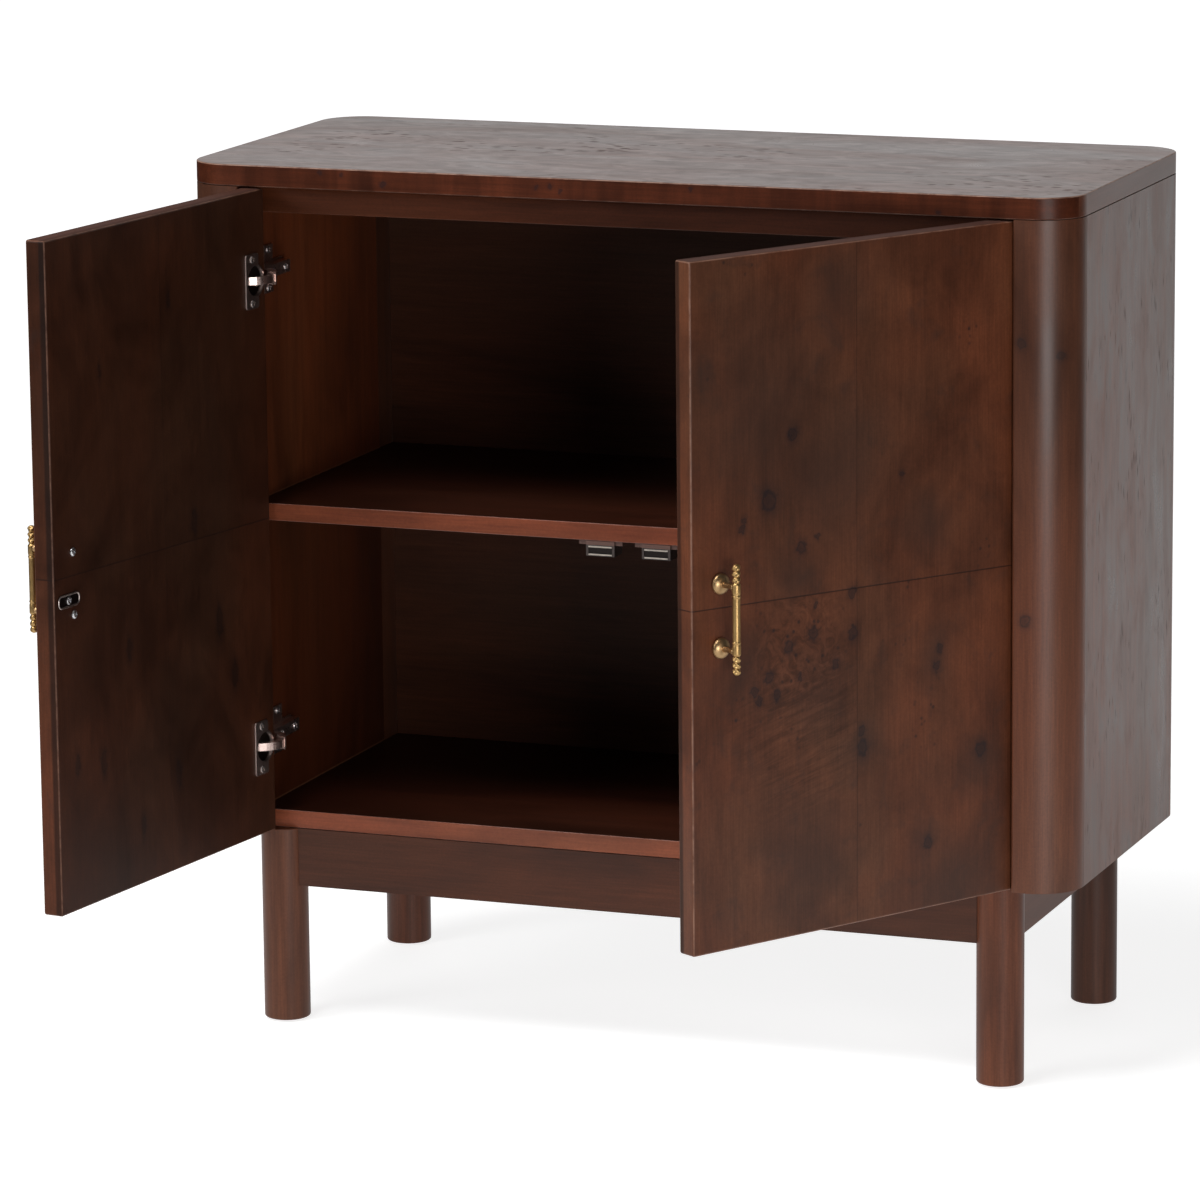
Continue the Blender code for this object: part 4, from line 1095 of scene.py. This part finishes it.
def build_floor():
    """A white floor that keeps a soft shadow."""
    form = bmesh.new()
    bmesh.ops.create_grid(form, x_segments=1, y_segments=1, size=40)
    mesh = mesh_from("floor", form)
    material = bpy.data.materials.new("floor_white")
    material.use_nodes = True
    tree = Staging(material.node_tree)
    place = tree.add("TexCoord").outputs["Object"]
    distance = tree.vector("LENGTH", place)
    away = tree.span(distance, FLOOR_NEAR, FLOOR_FAR, 1.0, FLOOR_FADED)
    ahead = tree.split(place)[1]
    straight = tree.span(tree.math("DIVIDE", ahead, distance), 0.7, 0.86)
    behind = tree.times(tree.span(ahead, 0.5, 1.5), straight)
    lit = tree.math("MAXIMUM", tree.math("MAXIMUM", away, behind), tree.seen())
    mirrored = tree.add("LightPath").outputs["Is Glossy Ray"]
    direct = tree.times(tree.minus(1.0, mirrored), tree.span(distance, *FLOOR_GLOW_PLACES, *FLOOR_GLOW))
    strength = tree.plus(direct, tree.times(mirrored, tree.span(behind, 0, 1, *FLOOR_SHINE)))
    glow = tree.out("Emission", {"Strength": tree.times(lit, strength)})
    shade = tree.out("CombineColor", {i: tree.times(lit, FLOOR_PAINT) for i in range(3)})
    matt = tree.out("BsdfDiffuse", {"Color": shade})
    tree.add("OutputMaterial", {"Surface": tree.out("AddShader", {0: glow, 1: matt})})
    mesh.materials.append(material)
    floor = put("floor", mesh)


def build_world():
    """White for the camera.  For light and reflections, a white backdrop behind and a dim room in front."""
    world = bpy.data.worlds.new("studio")
    bpy.context.scene.world = world
    world.use_nodes = True
    tree = Staging(world.node_tree)
    way = tree.add("TexCoord").outputs["Generated"]
    backdrop = tree.span(tree.split(way)[1], *BACKDROP_EDGE, ROOM_LEVEL, BACKDROP_LEVEL)
    level = tree.math("MAXIMUM", backdrop, tree.seen())
    background = tree.out("Background", {"Color": (1, 1, 1), "Strength": level})
    tree.add("OutputWorld", {"Surface": background})


def add_light(name, place, target, size, power):
    lamp = bpy.data.lights.new(name, "AREA")
    lamp.shape = "RECTANGLE"
    lamp.size, lamp.size_y = size
    lamp.energy = power
    item = put(name, lamp)
    item.location = place
    item.rotation_euler = (Vector(target) - Vector(place)).to_track_quat("-Z", "Y").to_euler()


def build_camera():
    """The photograph's viewing angle: a long lens in front of the cabinet, to its right and above it."""
    yaw, pitch, roll = (math.radians(a) for a in CAMERA_ANGLES)
    ahead = Vector((-math.sin(yaw) * math.cos(pitch), math.cos(yaw) * math.cos(pitch), math.sin(pitch)))
    right = Vector((math.cos(yaw), math.sin(yaw), 0))
    up = right.cross(ahead)
    across = right * math.cos(roll) + up * math.sin(roll)
    upright = up * math.cos(roll) - right * math.sin(roll)
    data = bpy.data.cameras.new("camera")
    data.lens = CAMERA_LENS
    data.sensor_width = 36
    camera = put("camera", data)
    x, y, z = CAMERA_PLACE
    place = Vector((CASE_CENTRE.x + x, CASE_CENTRE.y + y, z))
    turn = Matrix((across, upright, -ahead)).transposed().to_4x4()
    camera.matrix_world = Matrix.Translation(place) @ turn
    bpy.context.scene.camera = camera


build_floor()
build_world()
for lamp_row in LAMPS:
    add_light(*lamp_row)
build_camera()
bpy.context.scene.view_settings.view_transform = "Standard"
